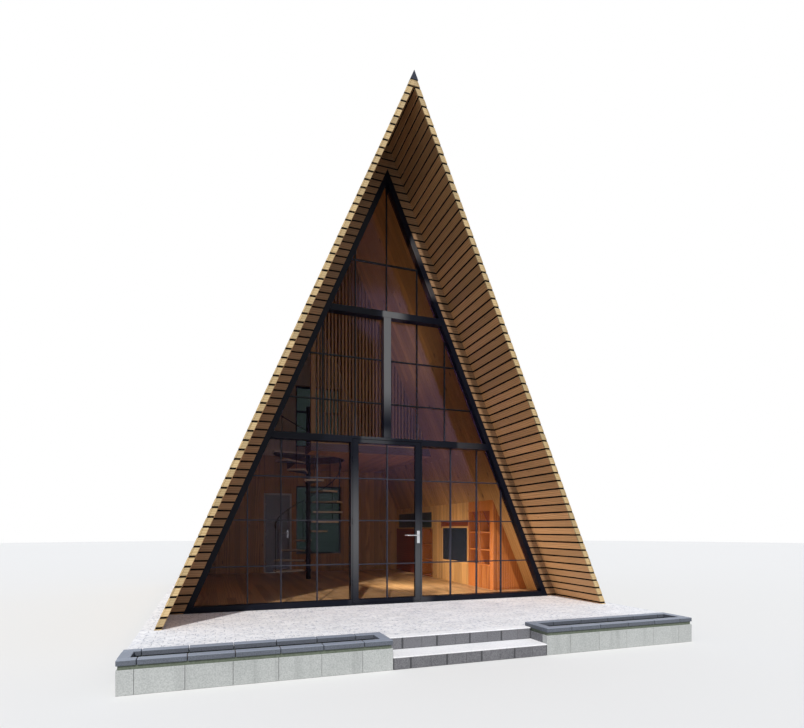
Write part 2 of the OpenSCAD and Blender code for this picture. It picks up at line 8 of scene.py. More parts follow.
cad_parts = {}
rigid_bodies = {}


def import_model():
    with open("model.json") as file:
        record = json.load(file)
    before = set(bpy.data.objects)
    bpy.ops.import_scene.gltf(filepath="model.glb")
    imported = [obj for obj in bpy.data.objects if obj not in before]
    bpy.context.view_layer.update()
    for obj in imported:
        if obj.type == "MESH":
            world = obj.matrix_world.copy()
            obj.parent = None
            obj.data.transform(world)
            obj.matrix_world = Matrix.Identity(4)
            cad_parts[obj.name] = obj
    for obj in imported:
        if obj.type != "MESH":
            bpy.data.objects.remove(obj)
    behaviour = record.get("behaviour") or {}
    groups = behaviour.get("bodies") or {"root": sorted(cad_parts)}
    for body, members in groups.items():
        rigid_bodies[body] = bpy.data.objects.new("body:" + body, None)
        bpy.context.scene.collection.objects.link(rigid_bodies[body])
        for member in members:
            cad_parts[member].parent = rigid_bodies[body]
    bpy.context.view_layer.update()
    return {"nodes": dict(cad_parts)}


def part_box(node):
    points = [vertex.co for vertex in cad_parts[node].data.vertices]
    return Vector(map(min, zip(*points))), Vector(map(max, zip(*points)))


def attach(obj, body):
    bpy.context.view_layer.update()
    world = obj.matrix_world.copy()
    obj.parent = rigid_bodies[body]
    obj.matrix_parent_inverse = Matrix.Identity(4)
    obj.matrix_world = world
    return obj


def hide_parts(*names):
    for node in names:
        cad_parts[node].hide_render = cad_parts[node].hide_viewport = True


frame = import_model()

# Sizes, in metres. A slope depth is measured inwards from the outer face of the roof,
# square to the slope, and a level is measured up from the top of the terrace.
PITCH = math.radians(66.5)
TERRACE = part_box("terrace_paving")[1].z
HALF_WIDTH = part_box("cladding_right")[1].x
ROOF_FRONT, ROOF_REAR = (corner.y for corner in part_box("cladding_right"))
GABLE_INSIDE, HOUSE_DEPTH = (corner.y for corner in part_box("gable_wall_upper"))
BOARD = 0.022
VERGE = 0.075
ROOF = 0.233
LINING = 0.020
FRAME_FACE = 0.313
COURSE = 0.115
COURSE_GAP = 0.024
COURSE_START = -0.0795
SCREW_RISES = (0.022, 0.072)
SILL = 0.086
LOWER_TRANSOM = 2.449
UPPER_TRANSOM = 4.391
TRANSOM = 0.097
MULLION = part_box("mid_mullion")[0].x
FLOOR = 0.060
LOFT = 2.800
LOFT_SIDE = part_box("loft_floor")[0].x
LOFT_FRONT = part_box("loft_screen")[0].y
STAIR = Vector((-0.560, 3.800))
WELL = 0.770
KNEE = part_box("fitted_wall")[0].x
KNEE_WALL = 0.028
COPING_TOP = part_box("planter_copings")[1].z - 0.014
PLANTER_WALL = 0.090
BLOCK = 0.4015
BLOCK_SKIN = 0.090
BLOCK_JOINT = 0.009

# Openings of the rear gable: low x, high x, low level, high level
DOOR_HOLE = (-1.320, -0.640, 0.0, 2.040)
WINDOWS = ((-0.540, 0.650, 0.500, 2.260), (-0.540, 0.650, 3.230, 4.800))
OPENINGS = (DOOR_HOLE, *WINDOWS)

# The gap between pieces that would touch, and a level and a width past the slopes, for
# boards that the slopes cut off
HAIR = 0.0005
ABOVE, ASIDE = 7.0, 3.0

X_AXIS, Y_AXIS, Z_AXIS = Vector((1, 0, 0)), Vector((0, 1, 0)), Vector((0, 0, 1))
UP_RIGHT_SLOPE = Vector((-math.cos(PITCH), 0, math.sin(PITCH)))


def half_at(depth, z):
    """How far from the middle a face at this slope depth stands at this level."""
    return HALF_WIDTH - depth / math.sin(PITCH) - z / math.tan(PITCH)


def apex(depth):
    """The level where the two faces at this slope depth meet."""
    return half_at(depth, 0) * math.tan(PITCH)


def level(z):
    """The height in the frame of a level above the terrace."""
    return TERRACE + z


def slope_point(depth, z, y):
    """A point on the right slope, at this slope depth and level."""
    return Vector((half_at(depth, z), y, level(z)))


def lengths(start, end, marks):
    """The stretches between joints."""
    places = [start, *[m for m in marks if start + 0.02 < m < end - 0.02], end]
    return list(zip(places, places[1:]))


def every(start, end, first, step=BLOCK):
    """Joints at even steps through a known one."""
    n = math.ceil((start - first) / step)
    marks = []
    while first + n * step < end:
        marks.append(first + n * step)
        n += 1
    return marks


# Materials

class Wire:
    """The output of a shader node. Python's operators on it add Math nodes."""

    def __init__(self, finish, socket):
        self.finish, self.socket = finish, socket

    def math(self, operation, *values):
        return self.finish.node("ShaderNodeMath", {"operation": operation},
                                dict(enumerate(values)))

    def __add__(self, other):
        return self.math("ADD", self, other)

    def __sub__(self, other):
        return self.math("SUBTRACT", self, other)

    def __rsub__(self, other):
        return self.math("SUBTRACT", other, self)

    def __mul__(self, other):
        return self.math("MULTIPLY", self, other)

    __radd__, __rmul__ = __add__, __mul__

    def folds(self):
        """Rises from 0 to 1 and falls back, once in each whole step."""
        return self.math("PINGPONG", self, 0.5) * 2.0

    def ramp(self, low, high, start=0.0, end=1.0):
        """Goes from start to end as this goes from low to high, and stays there."""
        return self.finish.node("ShaderNodeMapRange", {"interpolation_type": "SMOOTHSTEP"},
                                {"Value": self, "From Min": low, "From Max": high,
                                 "To Min": start, "To Max": end}, out="Result")


class Finish:
    """The shader of one material, or of the world, under construction."""

    def __init__(self, name, world=None):
        self.owner = world or bpy.data.materials.new(name)
        self.owner.use_nodes = True
        self.tree = self.owner.node_tree
        self.tree.nodes.clear()

    def node(self, kind, settings=None, values=None, out=0):
        """A new node: its settings are set first, then the values or links of its
        sockets. Gives back the output named or numbered out."""
        node = self.tree.nodes.new(kind)
        for name, setting in (settings or {}).items():
            if name == "stops":
                ramp = node.color_ramp
                while len(ramp.elements) < len(setting):
                    ramp.elements.new(0.5)
                for element, (place, colour) in zip(ramp.elements, setting):
                    element.position, element.color = place, (*colour, 1)
            else:
                setattr(node, name, setting)
        for name, value in (values or {}).items():
            if isinstance(value, Wire):
                self.tree.links.new(value.socket, node.inputs[name])
            elif isinstance(value, tuple) and len(value) == 3 \
                    and node.inputs[name].type == "RGBA":
                node.inputs[name].default_value = (*value, 1)
            else:
                node.inputs[name].default_value = value
        return Wire(self, node.outputs[out])

    def place(self):
        return self.node("ShaderNodeTexCoord", out="Object")

    def axes(self, place, names):
        """The distances of a place along the axes named, such as "XZ"."""
        return [self.node("ShaderNodeSeparateXYZ", None, {"Vector": place}, out=name)
                for name in names]

    def attribute(self, name, out="Fac"):
        return self.node("ShaderNodeAttribute", {"attribute_name": name}, out=out)

    def stretched(self, place, scale):
        return self.node("ShaderNodeVectorMath", {"operation": "MULTIPLY"},
                         {0: place, 1: scale})

    def noise(self, place, scale, detail=2.0, roughness=0.5):
        return self.node("ShaderNodeTexNoise", None,
                         {"Vector": place, "Scale": scale, "Detail": detail,
                          "Roughness": roughness})

    def cells(self, place, scale):
        return self.node("ShaderNodeTexVoronoi", {"feature": "F1"},
                         {"Vector": place, "Scale": scale}, out="Distance")

    def mix(self, share, low, high, blend="MIX"):
        return self.node("ShaderNodeMix", {"data_type": "RGBA", "blend_type": blend},
                         {0: share, 6: low, 7: high}, out=2)

    def toned(self, colour, red, green, blue):
        """A colour with its three parts scaled."""
        return self.mix(1.0, colour, self.node("ShaderNodeCombineColor", None,
                                               {0: red, 1: green, 2: blue}), "MULTIPLY")

    def colours(self, share, stops):
        return self.node("ShaderNodeValToRGB", {"stops": stops}, {"Fac": share}, out="Color")

    def bump(self, height, strength, distance):
        return self.node("ShaderNodeBump", None, {"Height": height, "Strength": strength,
                                                  "Distance": distance}, out="Normal")

    def surface(self, **values):
        """The Principled shader on the output. A name's underscores are spaces."""
        return self.shown(self.node("ShaderNodeBsdfPrincipled", None,
                                    {name.replace("_", " "): v for name, v in values.items()},
                                    out="BSDF"))

    def shows(self):
        """1 where the camera sees it, also in a mirror or through glass, and else 0."""
        path = self.tree.nodes.new("ShaderNodeLightPath").outputs
        seen, mirrored, passed = (Wire(self, path[f"Is {kind} Ray"])
                                  for kind in ("Camera", "Glossy", "Transmission"))
        return seen.math("MAXIMUM", seen.math("MAXIMUM", seen, mirrored), passed)

    def shown(self, shader, kind="ShaderNodeOutputMaterial"):
        output = self.tree.nodes.new(kind)
        self.tree.links.new(shader.socket, output.inputs["Surface"])
        return self.owner


def srgb(red, green, blue):
    """A colour written as a screen shows it, from 0 to 255."""
    def linear(c):
        c /= 255
        return c / 12.92 if c <= 0.04045 else ((c + 0.055) / 1.055) ** 2.4
    return tuple(linear(c) for c in (red, green, blue))


def scaled(colour, share, plus=0.0):
    """A darker or paler shade of a colour."""
    return tuple(c * share + plus for c in colour)


def timber(name, pale, middle, deep, knots=0.0, sheen=0.0, rough=0.55, tone_spread=0.38,
           painted_light_and_shade_by_height=None):
    """Planed or sawn boards. Each board carries its own grain coordinates, with the
    first along the board, and its own tone. The last argument can make the tone paler
    or darker up the house, as painted light and shade: (low z, high z, share at the
    low z, share at the high z)."""
    pale, middle, deep = srgb(*pale), srgb(*middle), srgb(*deep)
    wood = Finish(name)
    grain = wood.attribute("grain", "Vector")
    tone = wood.attribute("tone")
    wander = wood.noise(wood.stretched(grain, (0.7, 3.0, 3.0)), 1.0)
    heart = wood.node("ShaderNodeVectorMath", {"operation": "LENGTH"},
                      {0: wood.stretched(grain, (0.0, 1.0, 1.0))}, out="Value")
    rings = (heart * 46.0 + wander * 4.0).folds()
    fibres = wood.noise(wood.stretched(grain, (2.2, 210.0, 210.0)), 1.0, 4.0, 0.65)
    cloud = wood.noise(wood.stretched(grain, (0.6, 3.0, 3.0)), 1.0)
    base = wood.colours(rings * 0.3 + fibres * 0.7,
                        [(0.25, pale), (0.5, middle), (0.78, deep)])
    shade = (tone - 0.5) * tone_spread + (cloud - 0.5) * 0.34 + 1.0
    if painted_light_and_shade_by_height:
        height, = wood.axes(wood.place(), "Z")
        shade = shade * height.ramp(*painted_light_and_shade_by_height)
    toned = wood.toned(base, shade, shade * 0.985 + 0.005, shade * 0.95 + 0.01)
    relief = fibres * 0.8 + rings * 0.2
    if knots:
        eye = wood.cells(wood.stretched(grain, (2.3, 8.0, 4.0)), 1.0)
        eye = eye.ramp(0.05 * knots, 0.15 * knots, 1.0, 0.0)
        toned = wood.mix(eye * 0.75, toned, scaled(deep, 0.28))
        relief = relief - eye * 0.5
    return wood.surface(Base_Color=toned, Roughness=fibres * 0.16 + (rough - 0.08),
                        Coat_Weight=sheen, Coat_Roughness=0.25,
                        Normal=wood.bump(relief, 0.35, 0.0012))


def painted(name, colour, rough=0.38, gloss=0.5, dust=0.12, painted_sheen=(), painted_shade_above=None):
    """Satin paint on steel: an even coat, faintly uneven under a low light. It has painted
    sheen, a painted reflection of the sky, in stretches of (low x, high x, low z, high z,
    fade, share of the coat). Above a given level it is darker: painted shade."""
    colour = srgb(*colour)
    paint = Finish(name)
    place = paint.place()
    peel = paint.noise(place, 420.0)
    broad = paint.noise(place, 1.7, 3.0)
    tinted = paint.mix(broad.ramp(0.35, 0.75) * dust, colour, scaled(colour, 0.7, 0.16))
    side, height = paint.axes(place, "XZ")
    if painted_shade_above:
        tinted = paint.mix(height.ramp(painted_shade_above, painted_shade_above + 0.6), tinted,
                           scaled(colour, 0.2))
    coat = 0.0
    for x0, x1, z0, z1, fade, share in painted_sheen:
        sheen_patch = (side.ramp(x0 - 0.04, x0) * side.ramp(x1, x1 + 0.25, 1.0, 0.0)
                 * height.ramp(z0, z0 + fade) * height.ramp(z1 - fade, z1, 1.0, 0.0))
        coat = sheen_patch * share + coat
    return paint.surface(Base_Color=tinted, Roughness=broad * 0.14 + (rough - 0.07),
                         Specular_IOR_Level=gloss, Coat_Weight=coat, Coat_IOR=2.1,
                         Coat_Roughness=0.4, Normal=paint.bump(peel, 0.12, 0.0004))


def stone(name, colour, dark, speckle=60.0, contrast=0.35, rough=0.75, tone_spread=0.12,
          streaks=0.0, flecks=(0.38, 0.66), painted_highlight_top=None):
    """Cast or cut stone: fine grains, soft clouds, and each block its own tone. The face
    on top, at a given height, can be paler: a painted highlight."""
    colour, dark = srgb(*colour), srgb(*dark)
    rock = Finish(name)
    place = rock.place()
    tone = rock.attribute("tone")
    grains = rock.noise(place, speckle, 5.0, 0.7)
    cloud = rock.noise(place, 3.1, 4.0, 0.6)
    pits = rock.cells(place, speckle * 1.3)
    base = rock.mix(grains.ramp(*flecks) * contrast + cloud.ramp(0.4, 0.8) * 0.18,
                    colour, dark)
    if streaks:
        run = rock.noise(rock.stretched(place, (9.0, 9.0, 0.7)), 1.0, 3.0)
        base = rock.mix(run.ramp(0.48, 0.8) * streaks, base, scaled(dark, 0.55))
    if painted_highlight_top:
        height, = rock.axes(place, "Z")
        base = rock.mix(height.ramp(painted_highlight_top - 0.008, painted_highlight_top - 0.001) * 0.75, base,
                        scaled(colour, 2.2))
    shade = (tone - 0.5) * tone_spread + 1.0
    hollow = pits.ramp(0.0, 0.32)
    return rock.surface(Base_Color=rock.toned(base, shade, shade, shade),
                        Roughness=grains * 0.2 + (rough - 0.1),
                        Normal=rock.bump(grains * 0.6 + hollow * 0.4, 0.3, 0.0015))


def earth(name):
    """Dry brown soil with clods and crumbs."""
    soil = Finish(name)
    place = soil.place()
    clods = soil.noise(place, 34.0, 6.0, 0.65)
    crumbs = soil.noise(place, 190.0, 3.0)
    colour = soil.colours(clods * 0.7 + crumbs * 0.3,
                          [(0.3, srgb(38, 27, 20)), (0.55, srgb(72, 52, 38)),
                           (0.8, srgb(108, 84, 62))])
    return soil.surface(Base_Color=colour, Roughness=0.95,
                        Normal=soil.bump(clods * 0.6 + crumbs * 0.4, 0.8, 0.01))


def satin_steel(name):
    """Stainless steel, brushed up and down."""
    metal = Finish(name)
    brush = metal.noise(metal.stretched(metal.place(), (900.0, 900.0, 24.0)), 1.0)
    return metal.surface(Base_Color=(0.62, 0.63, 0.65), Metallic=1.0,
                         Roughness=brush * 0.14 + 0.19,
                         Normal=metal.bump(brush, 0.08, 0.0002))


def window_glass(name, tint, gloss):
    """Clear glass that mirrors more at low angles. The mirror's share also grows to the
    right and with height, and falls again in the peak: a painted reflection."""
    glass = Finish(name)
    place = glass.place()
    ripple = glass.bump(glass.noise(place, 1.3, 1.0), 0.02, 0.02)
    through = glass.node("ShaderNodeBsdfTransparent", None, {"Color": tint}, out="BSDF")
    mirror = glass.node("ShaderNodeBsdfGlossy", None,
                        {"Color": gloss, "Roughness": 0.03, "Normal": ripple}, out="BSDF")
    slant = glass.node("ShaderNodeLayerWeight", None, {"Blend": 0.25, "Normal": ripple},
                       out="Fresnel")
    side, height = glass.axes(place, "XZ")
    # Painted reflection below the lower transom, above it, and the two together with the peak
    low = height.ramp(1.7, 2.7) * side.ramp(-1.1, 0.1, 0.25)
    high = (side + height.ramp(4.2, 4.6) * 0.45).ramp(-0.3, 0.05, 0.05)
    share = (low + (high - 1.0) * height.ramp(2.75, 2.85)) * height.ramp(4.95, 5.25, 1.0, 0.1)
    share = share.math("MAXIMUM", share, 0.0) * 0.75 + 0.13
    return glass.shown(glass.node("ShaderNodeMixShader", None,
                                  {0: slant * share, 1: through, 2: mirror}, out="Shader"))


def even(name, colour, rough, gloss=0.08):
    """A plain dark face, such as a membrane or a lacquered panel."""
    colour = srgb(*colour)
    plain = Finish(name)
    broad = plain.noise(plain.place(), 40.0, 3.0)
    return plain.surface(Base_Color=plain.mix(broad * 0.4, colour, scaled(colour, 1.5, 0.001)),
                         Roughness=broad * 0.2 + (rough - 0.1), Specular_IOR_Level=gloss)


CLADDING = timber("oiled_larch", (212, 189, 146), (196, 170, 124), (168, 138, 94), 0.4,
                  rough=0.62)
# A darker copy of the larch for the reveals: painted shade.
SHADED = timber("reveal_larch_painted_shade", (170, 135, 100), (152, 117, 83), (120, 89, 60), 0.4,
                rough=0.62)
# The soffits' larch is paler low down and darker near the ridge: painted bounce light and
# painted shade.
SOFFIT_LARCH = timber("soffit_larch_painted_light_and_shade", (216, 170, 120), (198, 150, 102), (162, 116, 74), 0.4,
                      rough=0.62, painted_light_and_shade_by_height=(2.0, 6.5, 1.28, 0.78))
# The lining pine grows paler up into the loft: painted light.
LINING_PINE = timber("lining_pine", (192, 148, 92), (170, 126, 74), (128, 88, 48), 1.0,
                     rough=0.5, painted_light_and_shade_by_height=(2.8, 4.6, 1.0, 1.15))
GABLE_PINE = timber("gable_pine", (192, 148, 92), (166, 122, 70), (120, 82, 44), 0.9,
                    rough=0.5)
WALL_PINE = timber("wall_pine", (214, 170, 112), (196, 148, 90), (160, 112, 62), 0.7,
                   rough=0.5)
FLOOR_OAK = timber("floor_oak", (220, 180, 130), (198, 156, 106), (160, 118, 76), 0.4, 0.2,
                   rough=0.42)
BEIGE_PAINT = timber("beige_paint", (222, 204, 176), (214, 194, 164), (200, 178, 146),
                     tone_spread=0.1)
SLAT_PINE = timber("slat_pine", (172, 132, 80), (150, 112, 64), (112, 80, 44), rough=0.5)
RED_PINE = timber("red_pine", (150, 74, 42), (128, 58, 32), (92, 38, 22), 0.4, rough=0.45)
WALNUT = timber("dark_walnut", (92, 62, 44), (74, 48, 34), (50, 31, 21), rough=0.5)
PALE_OAK = timber("washed_oak", (214, 200, 176), (196, 180, 154), (164, 146, 120), rough=0.5)
ORANGE_PINE = timber("orange_pine", (214, 138, 74), (192, 114, 54), (148, 80, 34), 0.5, 0.25,
                     rough=0.4)
# Painted sheen, standing in for reflections of the sky: on the mullion, twice on the
#  right stile, on both door posts and twice on the lower transom
FRAME_PAINT = painted("frame_paint", (14, 17, 28), rough=0.34, gloss=0.10, dust=0.02,
                      painted_sheen=((MULLION, MULLION + 0.2, 3.0, 5.3, 0.6, 0.9),
                              (0.5, 1.5, 4.98, 5.36, 0.15, 1.0),
                              (0.4, 1.5, 5.5, 6.03, 0.22, 1.0),
                              (-0.60, -0.50, 0.05, 2.6, 1.2, 0.75),
                              (0.45, 0.58, -0.3, 1.9, 1.0, 0.65),
                              (-0.40, -0.10, 2.5, 3.0, 0.15, 0.3),
                              (1.2, 1.5, 2.5, 3.0, 0.15, 0.3)))
# The bars are darker from 2.7 m up: painted shade under the overhang.
BAR_PAINT = painted("bar_paint", (50, 50, 60), rough=0.4, gloss=0.2, dust=0.03,
                    painted_shade_above=2.7)
CAP_PAINT = painted("cap_paint", (34, 40, 58), rough=0.4, gloss=0.3, dust=0.05)
STAIR_PAINT = painted("stair_paint", (22, 24, 30), rough=0.4, gloss=0.2, dust=0.04)
PALE_PAINT = painted("pale_paint", (190, 188, 182), rough=0.45, dust=0.2)
GREY_PAINT = painted("door_paint", (122, 128, 134), rough=0.42)
PAVING = stone("white_setts", (238, 238, 240), (146, 154, 172), 24.0, 0.85,
               flecks=(0.49, 0.70))
STEP_SLABS = stone("step_slabs", (243, 243, 245), (178, 184, 196), 40.0, 0.5,
                   tone_spread=0.06, flecks=(0.50, 0.72))
SETT_JOINT = stone("sett_joint", (150, 152, 160), (108, 111, 120), 120.0)
BLOCKS = stone("grey_blocks", (124, 124, 128), (78, 79, 85), 95.0, 0.8, 0.9)
PANELS = stone("pale_panels", (190, 193, 192), (148, 153, 152), 80.0, 0.65, 0.8,
               tone_spread=0.08, streaks=0.3)
# The coping's top face is paler: a painted highlight.
COPING = stone("dark_coping", (100, 106, 117), (62, 67, 78), 90.0, 0.7, 0.6,
               tone_spread=0.14, painted_highlight_top=COPING_TOP)
# Dark greenish grey for the bed under the coping stones: painted shade.
SHADE_BED = stone("coping_bed_painted_shade", (108, 116, 102), (82, 91, 78), 40.0, 0.6, 0.9)
MORTAR = stone("joint_mortar", (70, 71, 75), (48, 49, 53), 160.0)
SOIL = earth("bare_earth")
STEEL = satin_steel("satin_steel")
# The front glass mirrors in purple: a painted reflection of the sky.
GLASS = window_glass("front_glazing", (0.94, 0.94, 0.96), (0.68, 0.52, 1.0))
REAR_GLASS = window_glass("grey_glazing", (0.12, 0.15, 0.135), (0.80, 0.84, 0.90))
MEMBRANE = even("roof_membrane", (14, 12, 11), 0.9)
DARK_GLOSS = even("dark_gloss", (36, 42, 50), 0.22, 0.5)
GREEN_GLOSS = even("green_gloss", (30, 48, 44), 0.3, 0.4)


# How pieces are made

def placed(name, data):
    """A new object in the scene."""
    made = bpy.data.objects.new(name, data)
    bpy.context.scene.collection.objects.link(made)
    return made


def solid(name, bm, finish):
    """A new object of this shape and finish."""
    mesh = bpy.data.meshes.new(name)
    bm.to_mesh(mesh)
    bm.free()
    mesh.materials.append(finish)
    return placed(name, mesh)


def settled(made, modifier):
    """Makes what a modifier shows the piece's own mesh."""
    seen = made.evaluated_get(bpy.context.evaluated_depsgraph_get())
    mesh = bpy.data.meshes.new_from_object(seen)
    made.modifiers.remove(modifier)
    made.data = mesh
    return made


def fixed(made, slot, *nodes, body="cabin"):
    """Sets a finished piece on its body, in the place of these nodes."""
    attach(made, body)
    if nodes:
        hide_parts(*nodes)


class Stack:
    """Boards, bars or blocks of one finish, gathered into one mesh. Each gets its own
    tone and its own grain coordinates: along it, across it and through it."""

    def __init__(self, seed):
        self.bm = bmesh.new()
        self.grain = self.bm.verts.layers.float_vector.new("grain")
        self.tone = self.bm.verts.layers.float.new("tone")
        self.chance = random.Random(seed)

    def prism(self, outline, reach, along, round_edge=0.0, segments=1):
        """A solid with this outline at one end, drawn out by the vector reach."""
        count = len(outline)
        near = [self.bm.verts.new(p) for p in outline]
        far = [self.bm.verts.new(Vector(p) + reach) for p in outline]
        sides = [self.bm.faces.new((near[i], near[(i + 1) % count],
                                    far[(i + 1) % count], far[i])) for i in range(count)]
        faces = sides + [self.bm.faces.new(near[::-1]), self.bm.faces.new(far)]
        bmesh.ops.recalc_face_normals(self.bm, faces=faces)
        verts = near + far
        across = along.cross(Y_AXIS if abs(along.y) < 0.5 else X_AXIS).normalized()
        through = along.cross(across)
        shift = Vector([self.chance.uniform(0, 60) for _ in range(3)])
        tone = self.chance.random()
        for vert in verts:
            vert[self.grain] = Vector((vert.co.dot(along), vert.co.dot(across),
                                       vert.co.dot(through))) + shift
            vert[self.tone] = tone
        if round_edge:
            edges = list(dict.fromkeys(e for vert in verts for e in vert.link_edges))
            bmesh.ops.bevel(self.bm, geom=edges, offset=round_edge, segments=segments,
                            profile=0.6, affect="EDGES", clamp_overlap=True)

    def block(self, low, high, along=X_AXIS, round_edge=0.0, segments=1):
        """A box given by its low and high corners."""
        (x0, y0, z0), (x1, y1, z1) = low, high
        self.prism([(x0, y0, z0), (x1, y0, z0), (x1, y0, z1), (x0, y0, z1)],
                   Vector((0, y1 - y0, 0)), along, round_edge, segments)

    def piece(self, name, finish):
        return solid(name, self.bm, finish)


class RowTree:
    """A Geometry Nodes tree that repeats a mesh along a straight row. Each copy gets
    its own tone and grain."""

    def __init__(self):
        tree = self.tree = bpy.data.node_groups.new("row_of_pieces", "GeometryNodeTree")
        self.ids = {name: tree.interface.new_socket(
                        name=name, in_out="INPUT", socket_type=f"NodeSocket{kind}").identifier
                    for name, kind in (("Piece", "Geometry"), ("Count", "Int"),
                                       ("Step", "Vector"), ("Seed", "Int"),
                                       ("Finish", "Material"))}
        tree.interface.new_socket(name="Row", in_out="OUTPUT",
                                  socket_type="NodeSocketGeometry")
        given = tree.nodes.new("NodeGroupInput").outputs
        line = self.node("GeometryNodeMeshLine", {"mode": "OFFSET"},
                         {"Count": given["Count"], "Offset": given["Step"]})
        copies = self.node("GeometryNodeInstanceOnPoints", None,
                           {"Points": line, "Instance": given["Piece"]})
        chance = self.node("FunctionNodeRandomValue", {"data_type": "FLOAT"},
                           {"Seed": given["Seed"]}, out=1)
        marked = self.stored(copies, "copy", chance, "FLOAT", "INSTANCE")
        real = self.node("GeometryNodeRealizeInstances", None, {"Geometry": marked})
        own = self.attribute("tone", "FLOAT")
        copy = self.attribute("copy", "FLOAT")
        tone = self.node("ShaderNodeMath", {"operation": "FRACT"},
                         {0: self.node("ShaderNodeMath", {"operation": "ADD"},
                                       {0: own, 1: copy})})
        shift = self.node("ShaderNodeVectorMath", {"operation": "SCALE"},
                          {0: (37.0, 23.0, 11.0), "Scale": copy})
        grain = self.node("ShaderNodeVectorMath", {"operation": "ADD"},
                          {0: self.attribute("grain", "FLOAT_VECTOR"), 1: shift})
        grained = self.stored(self.stored(real, "tone", tone, "FLOAT"), "grain", grain,
                              "FLOAT_VECTOR")
        finished = self.node("GeometryNodeSetMaterial", None,
                             {"Geometry": grained, "Material": given["Finish"]})
        tree.links.new(finished, tree.nodes.new("NodeGroupOutput").inputs["Row"])

    def node(self, kind, settings=None, values=None, out=0):
        node = self.tree.nodes.new(kind)
        for name, setting in (settings or {}).items():
            setattr(node, name, setting)
        for name, value in (values or {}).items():
            if isinstance(value, bpy.types.NodeSocket):
                self.tree.links.new(value, node.inputs[name])
            else:
                node.inputs[name].default_value = value
        return node.outputs[out]

    def attribute(self, name, kind):
        return self.node("GeometryNodeInputNamedAttribute", {"data_type": kind},
                         {"Name": name})

    def stored(self, geometry, name, value, kind, domain="POINT"):
        return self.node("GeometryNodeStoreNamedAttribute",
                         {"data_type": kind, "domain": domain},
                         {"Geometry": geometry, "Name": name, "Value": value})

    def repeat(self, made, count, step, seed):
        """Turns a piece into a row of itself, as a plain mesh."""
        row = made.modifiers.new("row", "NODES")
        row.node_group = self.tree
        for name, value in (("Count", count), ("Step", tuple(step)), ("Seed", seed),
                            ("Finish", made.data.materials[0])):
            row[self.ids[name]] = value
        return settled(made, row)


ROWS = RowTree()


def joined(name, *parts):
    """One piece made of several that share its finish."""
    bm = bmesh.new()
    for part in parts:
        bm.from_mesh(part.data)
    made = solid(name, bm, parts[0].data.materials[0])
    for part in parts:
        bpy.data.objects.remove(part)
    return made


def dressed(node, finish, slot, round_edge, body="cabin"):
    """A finish copy of a node: the same shape, with its edges rounded."""
    bm = bmesh.new()
    bm.from_mesh(frame["nodes"][node].data)
    bmesh.ops.remove_doubles(bm, verts=bm.verts, dist=1e-5)
    bmesh.ops.dissolve_limit(bm, angle_limit=math.radians(1), verts=bm.verts,
                             edges=bm.edges)
    made = solid(f"{node}_finished", bm, finish)
    edge = made.modifiers.new("edges", "BEVEL")
    edge.width, edge.segments, edge.limit_method = round_edge, 2, "ANGLE"
    edge.angle_limit = math.radians(40)
    fixed(settled(made, edge), slot, node, body=body)


def up_slope(courses):
    """The way up the right slope that these courses take."""
    return Vector((-courses * COURSE / math.tan(PITCH), 0, courses * COURSE))


def rows_to_ridge(depth):
    """How many courses reach the ridge at this slope depth."""
    return math.ceil((apex(depth) - COURSE_START) / COURSE)


def course(stack, depth0, depth1, y0, y1, along, z0=COURSE_START, height=COURSE - COURSE_GAP,
           round_edge=0.002):
    """One level board of the right slope between two slope depths."""
    stack.prism([slope_point(depth, z, y0) for depth, z in
                 ((depth0, z0), (depth1, z0), (depth1, z0 + height), (depth0, z0 + height))],
                Vector((0, y1 - y0, 0)), along, round_edge)


def climbing(name, base, finish, courses, seed, first=0, step=1):
    """Rows of courses up the right slope from a stack of the lowest one."""
    made = base.piece(name, finish)
    made.data.transform(Matrix.Translation(up_slope(first)))
    return ROWS.repeat(made, courses, up_slope(step), seed)


def halved(made):
    """Cuts a piece of the right slope at the middle of the house and at the terrace."""
    bm = bmesh.new()
    bm.from_mesh(made.data)
    for point, outwards in (((0, 0, 0), -X_AXIS), ((0, 0, level(HAIR)), -Z_AXIS)):
        bmesh.ops.bisect_plane(bm, geom=bm.verts[:] + bm.edges[:] + bm.faces[:],
                               plane_co=point, plane_no=outwards, clear_outer=True,
                               dist=1e-6)
        bmesh.ops.holes_fill(bm, edges=[e for e in bm.edges if e.is_boundary], sides=0)
    bm.to_mesh(made.data)
    bm.free()
    return made


def mirrored(made, name, matrix):
    """A copy of a piece under a mirroring matrix, with its faces turned out again."""
    mesh = made.data.copy()
    mesh.transform(matrix)
    mesh.flip_normals()
    return placed(name, mesh)


def other_side(made, name):
    """The mirror image of a piece, for the left slope, in other tones."""
    twin = mirrored(made, name, Matrix.Scale(-1, 4, X_AXIS))
    for item in twin.data.attributes["tone"].data:
        item.value = (item.value + 0.37) % 1.0
    return twin


def turned_round(made, name):
    """The same piece at the rear of the house."""
    return mirrored(made, name, Matrix.Translation((0, HOUSE_DEPTH, 0))
                    @ Matrix.Scale(-1, 4, Y_AXIS))


def within(outline, depth):
    """The part of an outline of X and level that lies between the slopes."""
    for side in (1, -1):
        kept = []
        for (xa, za), (xb, zb) in zip(outline, outline[1:] + outline[:1]):
            past_a = side * xa - half_at(depth, za)
            past_b = side * xb - half_at(depth, zb)
            if past_a <= 0:
                kept.append((xa, za))
            if (past_a < 0 < past_b) or (past_b < 0 < past_a):
                share = past_a / (past_a - past_b)
                kept.append((xa + (xb - xa) * share, za + (zb - za) * share))
        outline = kept
        if len(outline) < 3:
            return []
    return outline


